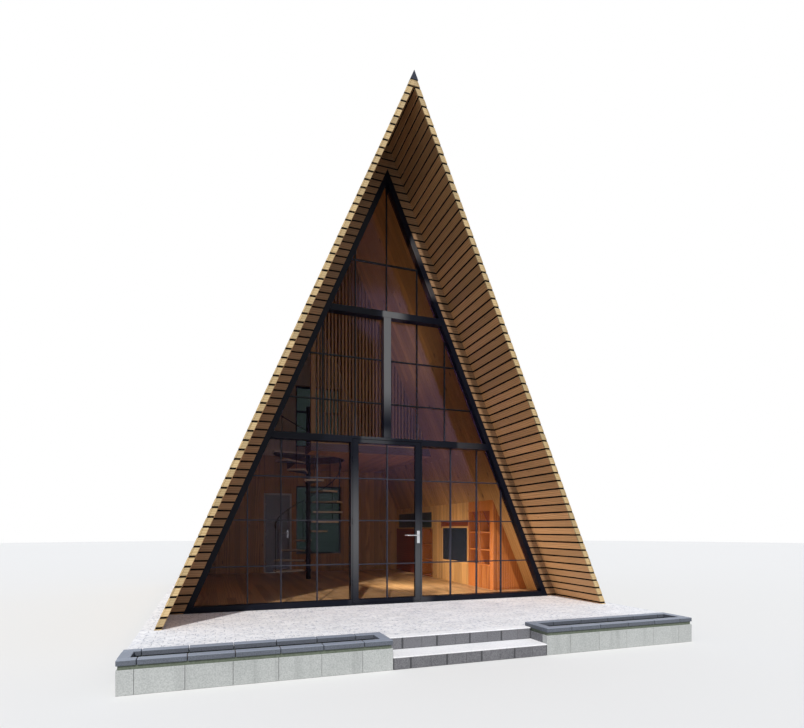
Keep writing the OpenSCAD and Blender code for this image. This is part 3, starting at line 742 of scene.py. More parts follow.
def around(rect, holes):
    """Cuts a rectangle (x0, x1, z0, z1) into the rectangles that leave the holes free."""
    least = 0.004
    for n, (hx0, hx1, hz0, hz1) in enumerate(holes):
        x0, x1, z0, z1 = rect
        if hx0 < x1 and hx1 > x0 and hz0 < z1 and hz1 > z0:
            left, right = max(x0, hx0), min(x1, hx1)
            pieces = [(x0, left, z0, z1), (right, x1, z0, z1),
                      (left, right, z0, max(z0, hz0)), (left, right, min(z1, hz1), z1)]
            return [part for piece in pieces
                    if piece[1] - piece[0] > least and piece[3] - piece[2] > least
                    for part in around(piece, holes[n + 1:])]
    return [rect]


def clad(stack, rect, y0, y1, depth, along, holes=(), round_edge=0.002):
    """An upright board (x0, x1, z0, z1), cut round its holes and to the slopes."""
    for x0, x1, z0, z1 in around(rect, list(holes)):
        outline = within([(x0, z0), (x1, z0), (x1, z1), (x0, z1)], depth)
        if len(outline) > 2:
            stack.prism([(x, y0, level(z)) for x, z in outline],
                        Vector((0, y1 - y0, 0)), along, round_edge)


def screw(stack, centre, outwards):
    """A small screw head that stands a little proud of a board."""
    radius, proud, thick = 0.0035, 0.0006, 0.0016
    side = Y_AXIS if abs(outwards.y) < 0.5 else X_AXIS
    up = outwards.cross(side)
    turns = [math.radians(60 * n) for n in range(6)]
    outline = [centre + outwards * proud
               + (side * math.cos(turn) + up * math.sin(turn)) * radius for turn in turns]
    stack.prism(outline, outwards * -thick, side)


# Roof

def roof_boards():
    """Level larch boards with open joints on both slopes. Their ends take turns in
    three kinds of course."""
    sets = []
    for kind, ends in enumerate(((0.9, 5.0), (3.0,), (1.9, 6.1))):
        row = Stack(11 + kind)
        for y0, y1 in lengths(ROOF_FRONT, ROOF_REAR, ends):
            course(row, 0, BOARD - 0.001, y0 + 0.001, y1 - 0.001, Y_AXIS)
        sets.append(climbing(f"courses_{kind}", row, CLADDING,
                             (rows_to_ridge(0) - kind + 2) // 3, 5 + kind, kind, 3))
    right = halved(joined("roof_boards_right", *sets))
    left = other_side(right, "roof_boards_left")
    fixed(right, "cladding", "cladding_right")
    fixed(left, "cladding", "cladding_left")


def roof_screws():
    """Two screws to a course on the line of each batten."""
    heads, first, pitch = Stack(26), 0.1, 0.599
    for n in range(int((ROOF_REAR - ROOF_FRONT - first) / pitch) + 1):
        for z in SCREW_RISES:
            screw(heads, slope_point(0, COURSE_START + z, ROOF_FRONT + first + n * pitch),
                  Vector((math.sin(PITCH), 0, math.cos(PITCH))))
    right = halved(climbing("roof_screws_right", heads, STEEL, rows_to_ridge(0), 27))
    for piece in (right, other_side(right, "roof_screws_left")):
        fixed(piece, "furniture")


def edge_boards():
    """The boards of the verges, the soffits and the reveals beside the glazing, in the
    roof's courses, with dark strips behind their joints."""
    edge, soffit, reveal, behind = Stack(21), Stack(22), Stack(23), Stack(24)
    back, sunk = VERGE - BOARD, 0.005
    course(edge, BOARD + HAIR, VERGE, ROOF_FRONT, ROOF_FRONT + BOARD, X_AXIS)
    course(soffit, back, VERGE, ROOF_FRONT + BOARD + 0.001, -0.001, Y_AXIS)
    course(reveal, back, ROOF - HAIR, 0, BOARD, X_AXIS)
    for depth0, depth1, y0, y1 in (
            (sunk, BOARD, ROOF_FRONT + sunk, ROOF_FRONT + 0.064),
            (BOARD, VERGE - sunk, ROOF_FRONT + sunk, ROOF_FRONT + BOARD),
            (back, VERGE - sunk, ROOF_FRONT + BOARD, -0.001),
            (back, ROOF - HAIR, sunk, BOARD)):
        course(behind, depth0, depth1, y0, y1, Y_AXIS, COURSE_START + COURSE - COURSE_GAP,
               COURSE_GAP, 0)
    # The soffits and reveals take larch with painted light and shade.
    for name, finish, stack, depth in (("verge_boards", CLADDING, edge, BOARD),
                                       ("soffit_boards", SOFFIT_LARCH, soffit, back),
                                       ("reveal_boards", SHADED, reveal, back),
                                       ("joint_strips", MEMBRANE, behind, 0)):
        right = halved(climbing(f"{name}_front_right", stack, finish,
                                rows_to_ridge(depth), 31))
        for front in (right, other_side(right, f"{name}_front_left")):
            rear = turned_round(front, front.name.replace("front", "rear"))
            for piece in (front, rear):
                fixed(piece, "soffit", "soffits")


def ridge_covers():
    """Thin plates over the joints of the ridge cap."""
    plates, parts = Stack(95), 5
    cap, leg, thick, wide = 0.004, 0.130, 0.0012, 0.06
    low, high = apex(0) - leg * math.sin(PITCH) + 0.004, apex(-cap) - 0.012
    for n in range(1, parts):
        y = ROOF_FRONT + (ROOF_REAR - ROOF_FRONT) * n / parts
        right = [slope_point(depth, z, y) for depth, z in
                 ((-cap - thick, low), (-cap - thick, high), (HAIR - cap, high),
                  (HAIR - cap, low))]
        left = [Vector((-p.x, p.y, p.z)) for p in right]
        for outline in (right, left):
            plates.prism(outline, Vector((0, wide, 0)), Y_AXIS, 0.0004)
    fixed(plates.piece("ridge_covers", CAP_PAINT), "cap_metal")


def pine_linings():
    """Pine boards that run up the inside of each slope, in two lengths."""
    boards, top = 49, apex(ROOF)
    pitch = 5.956 / boards
    sets = []
    for kind, joints in enumerate(((2.55, 5.4), (4.1,))):
        row = Stack(51 + kind)
        y0 = BOARD + kind * pitch + 0.0008
        for z0, z1 in lengths(0.0, top, joints):
            outline = [slope_point(ROOF, z0, y0), slope_point(ROOF - LINING, z0, y0)]
            if z1 < top:
                outline += [slope_point(ROOF - LINING, z1 - 0.0015, y0),
                            slope_point(ROOF, z1 - 0.0015, y0)]
            else:
                outline += [Vector((HAIR, y0, level(apex(ROOF - LINING)))),
                            Vector((HAIR, y0, level(top)))]
            row.prism(outline, Vector((0, pitch - 0.0016, 0)), UP_RIGHT_SLOPE, 0.003)
        sets.append(ROWS.repeat(row.piece(f"lining_{kind}", LINING_PINE),
                                (boards + 1) // 2 - kind, (0, 2 * pitch, 0), 53 + kind))
    right = joined("lining_boards_right", *sets)
    left = other_side(right, "lining_boards_left")
    fixed(right, "lining", "lining_right")
    fixed(left, "lining", "lining_left")


# Rear gable and front glazing

def gable_boards():
    """Upright pine boards inside the rear gable, with painted ones above them."""
    holes = (*OPENINGS, (LOFT_SIDE, ASIDE, LOFT - 0.152, LOFT + 0.002))
    pine, painted_boards = Stack(41), Stack(42)
    width, thick, wainscot = 0.118, 0.012, 2.980
    count = math.ceil(half_at(ROOF, 0) / width)
    for n in range(-count, count):
        x0, x1 = n * width + 0.001, (n + 1) * width - 0.001
        for stack, z0, z1, edge in ((pine, FLOOR + 0.002, wainscot, 0.003),
                                    (painted_boards, wainscot + 0.002, ABOVE, 0.002)):
            clad(stack, (x0, x1, z0, z1), GABLE_INSIDE - thick, GABLE_INSIDE, ROOF + 0.001,
                 Z_AXIS, holes, edge)
    fixed(pine.piece("gable_inner_boards", GABLE_PINE), "gable_boards")
    fixed(painted_boards.piece("gable_painted_boards", BEIGE_PAINT), "gable_boards")


def gable_cladding():
    """Level larch boards outside the rear gable, in line with the roof's courses."""
    boards, heads = Stack(43), Stack(44)
    face = HOUSE_DEPTH + BOARD
    for n in range(rows_to_ridge(VERGE)):
        z0 = max(COURSE_START + n * COURSE, 0.001)
        z1 = COURSE_START + (n + 1) * COURSE - COURSE_GAP
        reach = half_at(VERGE, z0)
        breaks = [-reach] + [x for x in ((-1.9, 1.4), (-0.9, 2.1), (0.3,))[n % 3]
                             if abs(x) < reach] + [reach]
        for x0, x1 in zip(breaks, breaks[1:]):
            clad(boards, (x0 + 0.001, x1 - 0.001, z0, z1), HOUSE_DEPTH + 0.001, face,
                 VERGE + 0.002, X_AXIS, OPENINGS)
        for x in [m * 0.6 + 0.05 for m in range(-6, 6)]:
            for z in SCREW_RISES:
                z += COURSE_START + n * COURSE
                if z > 0.01 and abs(x) < half_at(VERGE, z) - 0.03 and not any(
                        x0 - 0.02 < x < x1 + 0.02 and z0 - 0.02 < z < z1 + 0.02
                        for x0, x1, z0, z1 in OPENINGS):
                    screw(heads, Vector((x, face, level(z))), Y_AXIS)
    fixed(boards.piece("gable_outer_boards", CLADDING), "cladding")
    fixed(heads.piece("gable_screws", STEEL), "furniture")


def surround(stack, hole, y0, y1, thick=0.016, edge=0.0015):
    """Four boards that line a hole in the gable."""
    x0, x1, z0, z1 = hole
    for low, high in ((z1 - thick, z1), (z0, z0 + thick)):
        stack.block((x0, y0, level(low)), (x1, y1, level(high)), X_AXIS, edge)
    for low, high in ((x0, x0 + thick), (x1 - thick, x1)):
        stack.block((low, y0, level(z0 + thick)), (high, y1, level(z1 - thick)), Z_AXIS,
                    edge)


def window_linings():
    """Pine linings inside the rear windows and dark casings outside."""
    inner, outer = Stack(45), Stack(46)
    low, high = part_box("window_frames")
    for hole in WINDOWS:
        surround(inner, hole, GABLE_INSIDE - 0.014, low.y - 0.001)
        surround(outer, hole, high.y + 0.001, HOUSE_DEPTH + BOARD + 0.004)
    fixed(inner.piece("window_linings", GABLE_PINE), "gable_boards")
    fixed(outer.piece("window_casings", FRAME_PAINT), "frame_steel")


def glazing_bars():
    """Slim bars over the glass of the front, outside and inside, level and upright."""
    bars, door_bars = Stack(91), Stack(92)
    half, edge, post, mullion = 0.0175 / 2, 0.0025, 0.573, 0.058
    rises = (0.615, 1.275, 1.912)

    def faces(node):
        low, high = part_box(node)
        return (low.y - 0.010, low.y - HAIR), (high.y + HAIR, high.y + 0.007)

    def bar(x0, x1, z0, z1, along, sunk=0.0):
        for y0, y1 in faces("front_glass"):
            clad(bars, (x0, x1, z0, z1), y0 + sunk, y1 - sunk, FRAME_FACE + 0.001, along, (),
                 edge)

    def upright(xs, z0, z1):
        for x in xs:
            bar(x - half, x + half, z0, z1, Z_AXIS)

    def across(zs, *stretches):
        for z in zs:
            for x0, x1 in stretches:
                bar(x0, x1, z - half, z + half, X_AXIS, 0.001)

    upright((-2.060, -1.592, -1.065, 1.110, 1.582, 2.040), SILL, LOWER_TRANSOM)
    across(rises, (post, ASIDE), (-ASIDE, -post))
    upright((-0.982, -0.482, 0.523, 1.003), LOWER_TRANSOM + TRANSOM, UPPER_TRANSOM)
    across((3.085, 3.758), (mullion, ASIDE), (-ASIDE, -mullion))
    upright((-0.480, 0.018, 0.523), UPPER_TRANSOM + TRANSOM, ABOVE)
    across((5.243,), (-ASIDE, ASIDE))

    low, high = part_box("door_glass")
    for y0, y1 in faces("door_glass"):
        door_bars.block((-half, y0, low.z), (half, y1, high.z), Z_AXIS, edge)
        for z in rises:
            door_bars.block((low.x, y0 + 0.001, level(z) - half),
                            (high.x, y1 - 0.001, level(z) + half), X_AXIS, edge)
    # The bars' paint is darker higher up: painted shade.
    fixed(bars.piece("glazing_bars", BAR_PAINT), "frame_steel")
    fixed(door_bars.piece("door_bars", BAR_PAINT), "frame_steel", body="front_door")


# Inside

def ground_floor():
    """Floor boards in random lengths over a dark base."""
    base, boards = Stack(61), Stack(62)
    low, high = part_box("floor_deck")
    width, edge = 0.139, 0.0015
    reach = half_at(ROOF, FLOOR) - 0.002
    base.block((-reach, low.y, level(0.001)), (reach, high.y, level(FLOOR - 0.016)), Y_AXIS)
    for n in range(math.ceil(2 * reach / width)):
        x0 = -reach + n * width
        x1 = min(x0 + width - 0.0015, reach)
        ends = sorted(boards.chance.uniform(low.y + 0.5, high.y - 0.5) for _ in range(2))
        for y0, y1 in lengths(low.y, high.y, ends):
            if y1 - y0 > 0.05 and x1 - x0 > 0.01:
                boards.block((x0, y0 + HAIR, level(FLOOR - 0.015)),
                             (x1, y1 - HAIR, level(FLOOR)), Y_AXIS, edge)
    fixed(boards.piece("floor_boards", FLOOR_OAK), "floor_boards", "floor_deck")
    fixed(base.piece("floor_base", MEMBRANE), "floor_boards")


def sector(inner, outer, start, end, z):
    """The outline of part of a ring round the stair, with its directions in degrees."""
    steps = max(2, int((end - start) / 5))
    turns = [math.radians(start + (end - start) * n / steps) for n in range(steps + 1)]
    return [(STAIR.x + r * math.cos(turn), STAIR.y + r * math.sin(turn), z)
            for r, run in ((outer, turns), (inner, turns[::-1])) for turn in run]


def well_boards(stack, z0, z1, width, gap, edge):
    """Boards of the loft from front to rear, cut round the stair well."""
    left, rear = LOFT_SIDE + 0.022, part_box("loft_floor")[1].y
    front, clear = LOFT_FRONT + 0.024, WELL + 0.019
    reach = half_at(ROOF + 0.001, z1)

    def chord(x):
        return math.sqrt(max(0.0, clear ** 2 - (x - STAIR.x) ** 2))

    x0 = left
    while x0 < reach - 0.01:
        x1 = min(x0 + width - gap, reach)
        xs = [x0 + (x1 - x0) * n / 6 for n in range(7)]
        if chord(x0) or chord(x1):
            outlines = ([(x0, front), (x1, front)] + [(x, STAIR.y - chord(x)) for x in xs[::-1]],
                        [(x, STAIR.y + chord(x)) for x in xs] + [(x1, rear), (x0, rear)])
        else:
            outlines = ([(x0, front), (x1, front), (x1, rear), (x0, rear)],)
        for outline in outlines:
            stack.prism([(x, y, level(z0)) for x, y in outline], Vector((0, 0, z1 - z0)),
                        Y_AXIS, edge)
        x0 += width


def loft():
    """Floor boards over a boarded ceiling, with a fascia along the front and the side
    and a bent one round the stair well."""
    low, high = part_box("loft_floor")
    z0, z1 = low.z - TERRACE, high.z - TERRACE
    boards, ceiling, fascia = Stack(66), Stack(67), Stack(68)
    well_boards(boards, z1 - 0.022, z1, 0.140, 0.0015, 0.0015)
    well_boards(ceiling, z0, z0 + 0.016, 0.118, 0.002, 0.002)
    clad(fascia, (low.x, ASIDE, z0, z1), low.y, low.y + 0.022, ROOF + 0.001, X_AXIS)
    half = math.sqrt(WELL ** 2 - (low.x - STAIR.x) ** 2)
    for y0, y1 in ((low.y + 0.023, STAIR.y - half), (STAIR.y + half, high.y)):
        fascia.block((low.x, y0, level(z0)), (low.x + 0.020, y1, level(z1)), Y_AXIS, 0.002)
    turn = math.degrees(math.acos((low.x - STAIR.x) / (WELL + 0.009)))
    fascia.prism(sector(WELL + HAIR, WELL + 0.018, -turn, turn, level(z0) + HAIR),
                 Vector((0, 0, z1 - z0 - 0.001)), Y_AXIS)
    fixed(boards.piece("loft_boards", FLOOR_OAK), "loft_boards", "loft_floor")
    fixed(ceiling.piece("loft_ceiling", GABLE_PINE), "loft_boards")
    fixed(fascia.piece("loft_fascia", WALNUT), "loft_boards")


def slatted_screen():
    """A corner post, a bottom rail and slats up to the slopes."""
    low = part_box("loft_screen")[0]
    post, rail, pitch, wide, deep = 0.090, 0.060, 0.069, 0.034, 0.042
    slats, depth = Stack(69), ROOF + 0.001
    end, reach = low.x + post, half_at(ROOF, LOFT)
    clad(slats, (low.x, end, LOFT, ABOVE), low.y, low.y + post, depth, Z_AXIS, (), 0.004)
    clad(slats, (end, reach, LOFT, LOFT + rail), low.y, low.y + deep, depth, X_AXIS)
    for n in range(1, int((reach - end) / pitch) + 1):
        clad(slats, (end + n * pitch - wide, end + n * pitch, LOFT + rail, ABOVE), low.y,
             low.y + deep, depth, Z_AXIS, (), 0.003)
    fixed(slats.piece("screen_slats", SLAT_PINE), "screen_slats", "loft_screen")


def stair_steps():
    """Pale wooden treads on steel plates and collars, and a landing at the top."""
    wood, steel = Stack(55), Stack(56)
    count, turn, half_turn = 13, 30, 16.5
    rise, thick, plate = (LOFT - FLOOR) / count, 0.045, 0.010
    for n in range(1, count + 1):
        top = level(FLOOR + n * rise)
        middle = 180 - turn * (n - 1)
        start, end, outer = middle - half_turn, middle + half_turn, 0.739
        if n == count:
            start, end, outer = 91.5, 196.5, 0.769
        middle = math.radians((start + end) / 2)
        along = Vector((math.cos(middle), math.sin(middle), 0))
        wood.prism(sector(0.105, outer, start + 0.6, end - 0.6, top - thick + plate),
                   Vector((0, 0, thick - plate)), along, 0.005, 2)
        steel.prism(sector(0.058, outer - 0.030, start + 2.5, end - 2.5, top - thick),
                    Vector((0, 0, plate)), along, 0.001)
        for side in (0, 180):
            steel.prism(sector(0.0505, 0.0655, side, side + 180, top - thick),
                        Vector((0, 0, thick)), Z_AXIS)
    fixed(wood.piece("tread_boards", PALE_OAK), "tread_boards", "stair_treads")
    fixed(steel.piece("tread_plates", STAIR_PAINT), "stair_steel")


# On the fitted wall: low y, high y, low level, high level, and the levels of shelves
BAYS = ((0.710, 1.110, 0.500, 1.480, (0.500, 0.780, 1.100)),
        (1.140, 1.530, 0.500, 1.480, (0.500, 0.780, 1.100)),
        (3.370, 4.030, 0.100, 1.150, (0.100, 0.450, 0.800)))
DARK_PANELS = ((1.605, 2.760, 0.500, 1.170), (3.370, 5.600, 1.185, 1.535))
RED_FACES = ((1.560, 2.860, 1.170, 1.320), (3.330, 5.800, 0.060, 1.165))


def fitted_wall():
    """The low wall under the right slope: pine boards, an orange end with shelves, and
    thin frames round the openings and the dark panels."""
    low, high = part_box("fitted_wall")
    depth, face, end, edge, top = ROOF + 0.0008, 0.012, 1.558, 0.0015, 1.70
    behind = KNEE + KNEE_WALL
    boards, orange, red = Stack(57), Stack(58), Stack(59)
    holes = [bay[:4] for bay in BAYS] + list(DARK_PANELS)

    def standing(stack, y0, y1, x0, x1, gap, openings):
        for ya, yb, z0, z1 in around((y0, y1, FLOOR + HAIR, top), openings):
            clad(stack, (x0, x1, z0, z1), ya, yb - gap, depth, Z_AXIS, (), edge)

    standing(orange, low.y, end, KNEE, KNEE + face, HAIR, holes)
    standing(orange, low.y, high.y, KNEE + face + 0.0003, behind, 0, holes[:3])
    y = end
    while y < high.y - 0.01:
        y1 = min(y + 0.095, high.y)
        standing(boards, y, y1, KNEE, KNEE + face, 0.002, holes + list(RED_FACES))
        y = y1
    for y0, y1, z0, z1 in RED_FACES:
        for ya, yb, za, zb in around((y0, y1 - HAIR, z0 + HAIR, z1 - HAIR), holes):
            red.block((KNEE, ya, level(za)), (KNEE + face, yb, level(zb)), Y_AXIS, edge)
    clad(orange, (behind, ASIDE, FLOOR + HAIR, top), low.y, low.y + KNEE_WALL, depth, Z_AXIS)
    for y0, y1, z0, z1, shelves in BAYS:
        for y in (y0 - KNEE_WALL, y1):
            clad(orange, (behind, ASIDE, FLOOR + HAIR, z1 + KNEE_WALL), y,
                 y + KNEE_WALL - HAIR, depth, Z_AXIS)
        red.prism([slope_point(depth_at, z, y0 + HAIR) for depth_at, z in
                   ((depth, z0), (depth + 0.006, z0), (depth + 0.006, z1), (depth, z1))],
                  Vector((0, y1 - y0 - 0.001, 0)), UP_RIGHT_SLOPE)
        for z in shelves:
            clad(orange, (behind, ASIDE, z - KNEE_WALL, z), y0 + HAIR, y1 - HAIR, depth,
                 Y_AXIS)
    for n, (y0, y1, z0, z1) in enumerate(holes):
        stack, wide = (boards, 0.034) if n >= len(BAYS) else (orange, 0.018)
        for ya, yb in ((y0 - wide, y0), (y1, y1 + wide)):
            stack.block((KNEE - 0.005, ya, level(z0 - wide)),
                        (KNEE - 0.0003, yb, level(z1 + wide)), Z_AXIS, edge)
        for za, zb in ((z0 - wide, z0), (z1, z1 + wide)):
            stack.block((KNEE - 0.005, y0 + HAIR, level(za)),
                        (KNEE - 0.0003, y1 - HAIR, level(zb)), Y_AXIS, edge)
    fixed(boards.piece("wall_boards", WALL_PINE), "joinery", "fitted_wall")
    fixed(orange.piece("shelf_boards", ORANGE_PINE), "joinery", "wall_shelves")
    fixed(red.piece("red_boards", RED_PINE), "joinery")
    for name, finish, (y0, y1, z0, z1) in zip(("dark_panel", "green_panel"),
                                              (DARK_GLOSS, GREEN_GLOSS), DARK_PANELS):
        panel = Stack(60)
        panel.block((KNEE + HAIR, y0 + HAIR, level(z0)), (KNEE + face, y1 - HAIR, level(z1)),
                    Y_AXIS, 0.002)
        fixed(panel.piece(name, finish), "dark_panel", "wall_panels")


# Terrace, steps and planters

def setts():
    """Small white setts in rows round the house, over a bed that runs on under it."""
    low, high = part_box("terrace_paving")
    bed, stones = Stack(63), Stack(64)
    bed.block((low.x + 0.002, low.y + 0.002, low.z),
              (high.x - 0.002, high.y - 0.002, high.z - 0.0025))
    wide, long, half_joint, thick = 0.1, 0.2, 0.0015, 0.020
    side = HALF_WIDTH - 0.12
    rows = round((high.y - low.y) / wide)
    for row in range(rows):
        y0 = low.y + (high.y - low.y) * row / rows
        y1 = low.y + (high.y - low.y) * (row + 1) / rows
        inside = y0 > 0.1 and y1 < HOUSE_DEPTH - 0.1
        for x0, x1 in lengths(low.x, high.x, every(low.x, high.x, row % 2 * long / 2, long)):
            if inside and x0 > -side and x1 < side:
                continue
            stones.block((x0 + half_joint * (x0 > low.x), y0 + half_joint * (row > 0),
                          high.z - thick),
                         (x1 - half_joint * (x1 < high.x),
                          y1 - half_joint * (row < rows - 1), high.z), X_AXIS, 0.0025)
    fixed(stones.piece("paving_setts", PAVING), "paving", "terrace_paving")
    fixed(bed.piece("paving_bed", SETT_JOINT), "paving")


def plinth_blocks(core):
    """A skin of blocks round the plinth's core."""
    blocks, skin, edge = Stack(71), BLOCK_SKIN, 0.004
    low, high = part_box("plinth")
    core.block((low.x + 0.003, low.y + 0.003, 0),
               (high.x - 0.003, high.y - 0.003, high.z - 0.001))
    for y0, y1 in lengths(low.y, high.y, every(low.y, high.y, low.y + 0.4)):
        for x0, x1 in ((low.x, low.x + skin), (high.x - skin, high.x)):
            blocks.block((x0, y0 + BLOCK_JOINT, 0), (x1, y1 - BLOCK_JOINT, high.z), Y_AXIS, edge)
    for x0, x1 in lengths(low.x + skin, high.x - skin,
                          every(low.x, high.x, low.x + 0.2)):
        for y0, y1 in ((high.y - skin, high.y), (low.y, low.y + skin)):
            blocks.block((x0 + BLOCK_JOINT, y0, 0), (x1 - BLOCK_JOINT, y1, high.z), X_AXIS, edge)
    fixed(blocks.piece("plinth_blocks", BLOCKS), "blocks", "plinth")


def front_steps(core):
    """Scored blocks as risers, with thin slabs on the two steps."""
    low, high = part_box("steps")
    nosing, step_top, slab = low.y + 0.322, 0.127, 0.012
    risers, treads = Stack(73), Stack(74)
    for first, y0, z0, z1 in ((-0.648, low.y, 0, step_top), (-0.622, nosing, step_top, high.z)):
        for x0, x1 in lengths(low.x, high.x, every(low.x, high.x, first)):
            scored = [(x0 + x1) / 2 + 0.02] if x1 - x0 > 0.3 else []
            for xa, xb in lengths(x0 + BLOCK_JOINT, x1 - BLOCK_JOINT, scored):
                risers.block((xa + 0.001, y0, z0), (xb - 0.001, y0 + BLOCK_SKIN, z1 - slab),
                             X_AXIS, 0.003)
    for y0, y1, top in ((low.y, nosing, step_top), (nosing, high.y, high.z)):
        core.block((low.x + 0.002, y0 + 0.004, 0), (high.x - 0.002, y1, top - slab))
    for x0, x1 in lengths(low.x, high.x, (-0.235, 0.37)):
        for y0, y1, top in ((low.y, nosing, step_top), (nosing, high.y, high.z)):
            treads.block((x0 + 0.001, y0, top - slab), (x1 - 0.001, y1, top), X_AXIS, 0.002)
    fixed(risers.piece("step_risers", BLOCKS), "blocks", "steps")
    fixed(treads.piece("step_treads", STEP_SLABS), "paving")


def planters():
    """Pale panels, block ends towards the steps, a bed and coping stones on the rim."""
    panels, ends, copings, bed = Stack(75), Stack(76), Stack(77), Stack(78)
    steps_low, steps_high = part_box("steps")
    box_low, box_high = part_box("planter_boxes")
    rim_low, rim_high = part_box("planter_copings")
    wall, rim, lip, thick, edge = PLANTER_WALL, 0.104, 0.016, 0.048, 0.002
    panel_top, under = rim_low.z + 0.002, COPING_TOP - thick
    for x0, x1, first, left in ((box_low.x, steps_low.x, -1.953, True),
                                (steps_high.x, box_high.x, 1.284, False)):
        marks = every(x0, x1, first)
        outer0, outer1 = (x0 + 0.002, x1) if left else (x0, x1 - 0.002)
        for xa, xb in lengths(outer0, outer1, marks):
            for y0, y1 in ((box_low.y + 0.002, box_low.y + wall),
                           (box_high.y - wall, box_high.y - 0.002)):
                panels.block((xa + 0.0015, y0, 0), (xb - 0.0015, y1, panel_top), X_AXIS,
                             edge)
        for xa, xb, stack in ((outer0, x0 + wall, panels if left else ends),
                              (x1 - wall, outer1, ends if left else panels)):
            stack.block((xa, box_low.y + wall + 0.001, 0),
                        (xb, box_high.y - wall - 0.001, panel_top), Y_AXIS, edge)
        for y0, y1 in ((rim_low.y + lip, rim_low.y + wall),
                       (rim_high.y - wall, rim_high.y - lip)):
            bed.block((x0 + lip, y0, panel_top - 0.001), (x1 - lip, y1, under + 0.001))
        for xa, xb in ((x0 + lip, x0 + wall), (x1 - wall, x1 - lip)):
            bed.block((xa, rim_low.y + wall, panel_top - 0.001),
                      (xb, rim_high.y - wall, under + 0.001))
        for xa, xb in lengths(x0, x1, [m + 0.02 for m in marks]):
            for y0, y1 in ((rim_low.y, rim_low.y + rim), (rim_high.y - rim, rim_high.y)):
                copings.block((xa + 0.003, y0, under), (xb - 0.003, y1, COPING_TOP), X_AXIS,
                              0.007, 3)
        for xa, xb in ((x0, x0 + rim), (x1 - rim, x1)):
            copings.block((xa, rim_low.y + rim + 0.003, under),
                          (xb, rim_high.y - rim - 0.003, COPING_TOP), Y_AXIS, 0.007, 3)
    # The bed's dark colour is painted shade under the copings.
    fixed(bed.piece("coping_bed_painted_shade", SHADE_BED), "coping")
    fixed(panels.piece("planter_panels", PANELS), "planter", "planter_boxes")
    fixed(ends.piece("planter_ends", BLOCKS), "blocks")
    fixed(copings.piece("coping_stones", COPING), "coping", "planter_copings")


def masonry():
    """Everything of block and stone below the terrace, round one core of mortar."""
    core = Stack(72)
    plinth_blocks(core)
    front_steps(core)
    planters()
    fixed(core.piece("masonry_core", MORTAR), "concrete")


def planter_beds():
    """Loose earth with a rough, slightly crowned top in each planter."""
    chance = random.Random(81)
    low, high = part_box("planter_soil")
    steps_low, steps_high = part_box("steps")
    cell, ny, inset, foot = 0.018, 15, 0.014, 0.002
    bm = bmesh.new()
    for x0, x1 in ((low.x, steps_low.x - PLANTER_WALL), (steps_high.x + PLANTER_WALL, high.x)):
        nx = int((x1 - x0) / cell)

        def point(i, j):
            u, v = i / nx, j / ny
            edge = min(u * (1 - u) * 60, v * (1 - v) * 8, 1.0)
            lump = math.sin(i * 0.9 + 2 * math.sin(j * 0.7)) + math.sin(j * 1.3 + i * 0.37)
            z = high.z - 0.012 + 0.010 * edge + 0.004 * lump * edge
            z += chance.uniform(-0.004, 0.004) * edge
            return bm.verts.new((x0 + inset + (x1 - x0 - 2 * inset) * u,
                                 low.y + inset + (high.y - low.y - 2 * inset) * v,
                                 min(z, high.z - HAIR)))

        grid = [[point(i, j) for j in range(ny + 1)] for i in range(nx + 1)]
        for i in range(nx):
            for j in range(ny):
                bm.faces.new((grid[i][j], grid[i + 1][j], grid[i + 1][j + 1], grid[i][j + 1]))
        rim = [e for e in bm.edges if e.is_boundary]
        for part in bmesh.ops.extrude_edge_only(bm, edges=rim)["geom"]:
            if isinstance(part, bmesh.types.BMVert):
                part.co.z = foot
        bmesh.ops.holes_fill(bm, edges=[e for e in bm.edges if e.is_boundary], sides=0)
    bmesh.ops.recalc_face_normals(bm, faces=bm.faces)
    made = solid("planter_earth", bm, SOIL)
    for face in made.data.polygons:
        face.use_smooth = True
    fixed(made, "soil", "planter_soil")


roof_boards()
roof_screws()
edge_boards()
ridge_covers()
pine_linings()
gable_boards()
gable_cladding()
window_linings()
ground_floor()
setts()
masonry()
planter_beds()
glazing_bars()
loft()
slatted_screen()
stair_steps()
fitted_wall()

for finish, nodes in (
        (MEMBRANE, "roof_left roof_right gable_wall_left gable_door_head gable_wall_right "
                   "gable_wall_upper"),
        (GLASS, "front_glass door_glass"),
        (REAR_GLASS, "window_glass")):
    for node in nodes.split():
        frame["nodes"][node].data.materials.clear()
        frame["nodes"][node].data.materials.append(finish)

# The frame paint carries painted sheen in set stretches.
for nodes, finish, slot, round_edge, body in (
        ("stile_left stile_right upper_transom lower_transom sill mid_mullion",
         FRAME_PAINT, "frame_steel", 0.003, "cabin"),
        ("door_posts", FRAME_PAINT, "frame_steel", 0.0015, "cabin"),
        ("door_leaf", FRAME_PAINT, "frame_steel", 0.002, "front_door"),
        ("door_plates", STEEL, "furniture", 0.0015, "front_door"),
        ("door_lever", STEEL, "furniture", 0.001, "front_lever"),
        ("window_frames", FRAME_PAINT, "frame_steel", 0.003, "cabin"),
        ("back_door_frame", PALE_PAINT, "door_frame", 0.0015, "cabin"),
        ("back_door_leaf", GREY_PAINT, "door_panel", 0.002, "back_door"),
        ("back_door_plates", STEEL, "furniture", 0.0015, "back_door"),
        ("back_door_lever", STEEL, "furniture", 0.001, "back_lever"),
        ("ridge_cap", CAP_PAINT, "cap_metal", 0.0012, "cabin"),
        ("stair_pole stair_handrail", STAIR_PAINT, "stair_steel", 0.002, "cabin")):
    for node in nodes.split():
        dressed(node, finish, slot, round_edge, body)


# Camera, floor and light

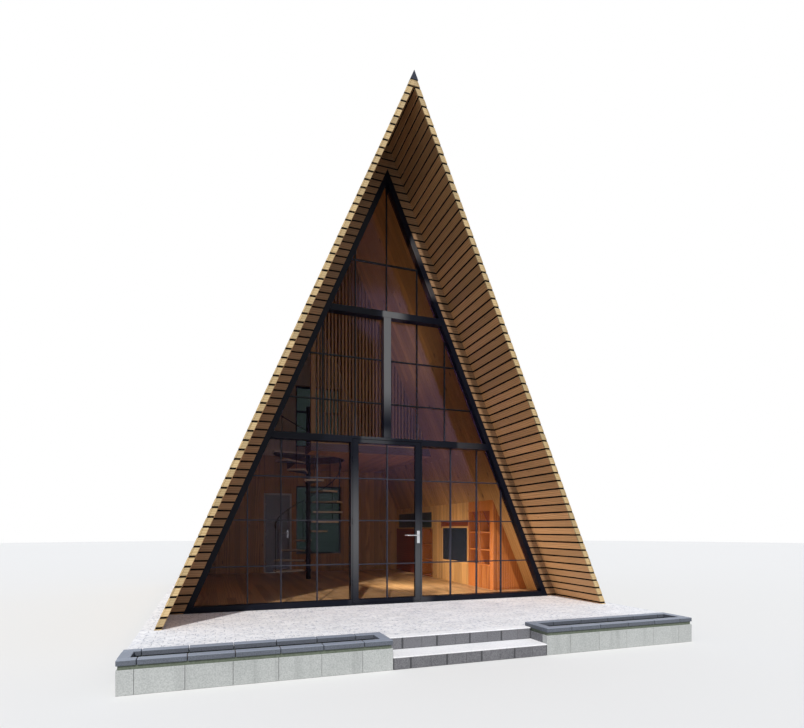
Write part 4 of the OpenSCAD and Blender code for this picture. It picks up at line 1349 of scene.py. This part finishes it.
def camera():
    """Stands where a perspective fitted to the photograph puts it."""
    lens = bpy.data.cameras.new("camera")
    lens.sensor_width, lens.lens = 36.0, 23.606
    lens.shift_x, lens.shift_y = 0.0006, 0.2052
    lens.clip_end = 200.0
    holder = placed("camera", lens)
    holder.location = (-2.535, -7.676, 1.405)
    holder.rotation_euler = (math.radians(90), 0, math.radians(-19.79))
    bpy.context.scene.camera = holder


def aimed(name, lamp, place, direction):
    """Sets a lamp in the scene and points it this way."""
    holder = placed(name, lamp)
    holder.location = place
    holder.rotation_euler = Vector(direction).to_track_quat("-Z", "Y").to_euler()


def studio():
    """A pale floor and sky. Both light the cabin less than they show: the floor throws
    back less light far from it, and the sky is weaker."""
    finish = Finish("studio_floor")
    shade = finish.noise(finish.place(), 0.4)
    pale = finish.mix(shade * 0.1, (0.80, 0.80, 0.79), (0.76, 0.76, 0.75))
    away = finish.node("ShaderNodeVectorMath", {"operation": "DISTANCE"},
                       {0: finish.place(), 1: (0.0, 2.0, 0.0)}, out="Value")
    thrown = finish.mix(away.ramp(5.0, 10.0), (0.60, 0.59, 0.56), (0.13, 0.13, 0.12))
    bm = bmesh.new()
    bmesh.ops.create_circle(bm, cap_ends=True, segments=96, radius=60.0)
    floor = solid("studio_floor", bm, finish.surface(
        Base_Color=finish.mix(finish.shows(), thrown, pale), Roughness=0.9))
    floor.location.z = -0.001

    sun = bpy.data.lights.new("sun", "SUN")
    sun.energy, sun.angle, sun.color = 2.7, math.radians(1.5), (1.0, 0.965, 0.915)
    aimed("sun", sun, (0, 0, 0), (0.39, 1.0, -1.12))

    warm, soft = (1.0, 0.88, 0.70), (1.0, 0.92, 0.86)
    for name, watts, colour, wide, high, (x, y, z), direction in (
            ("room", 19.0, warm, 0.9, 0.7, (0.3, 1.6, 0.75), (1.0, 0.35, -0.35)),
            ("corner", 8.0, warm, 0.3, 0.8, (0.9, 0.28, 0.62), (1.0, 0.15, -0.1)),
            ("loft", 3.1, soft, 0.9, 0.9, (0.1, 1.2, 3.2), (0.1, 0.2, 1.0))):
        lamp = bpy.data.lights.new(name, "AREA")
        lamp.shape, lamp.size, lamp.size_y = "RECTANGLE", wide, high
        lamp.energy, lamp.color, lamp.spread = watts, colour, math.radians(120)
        aimed(name, lamp, (x, y, level(z)), direction)

    world = bpy.context.scene.world = bpy.data.worlds.new("studio")
    sky = Finish("studio", world)
    shows = sky.shows()
    colour = sky.mix(shows, (0.80, 0.87, 1.0), (1.0, 1.0, 1.0))
    sky.shown(sky.node("ShaderNodeBackground", None,
                       {"Color": colour, "Strength": shows * 0.45 + 0.55}, out="Background"),
              "ShaderNodeOutputWorld")


camera()
studio()
bpy.context.scene.view_settings.view_transform = "Standard"
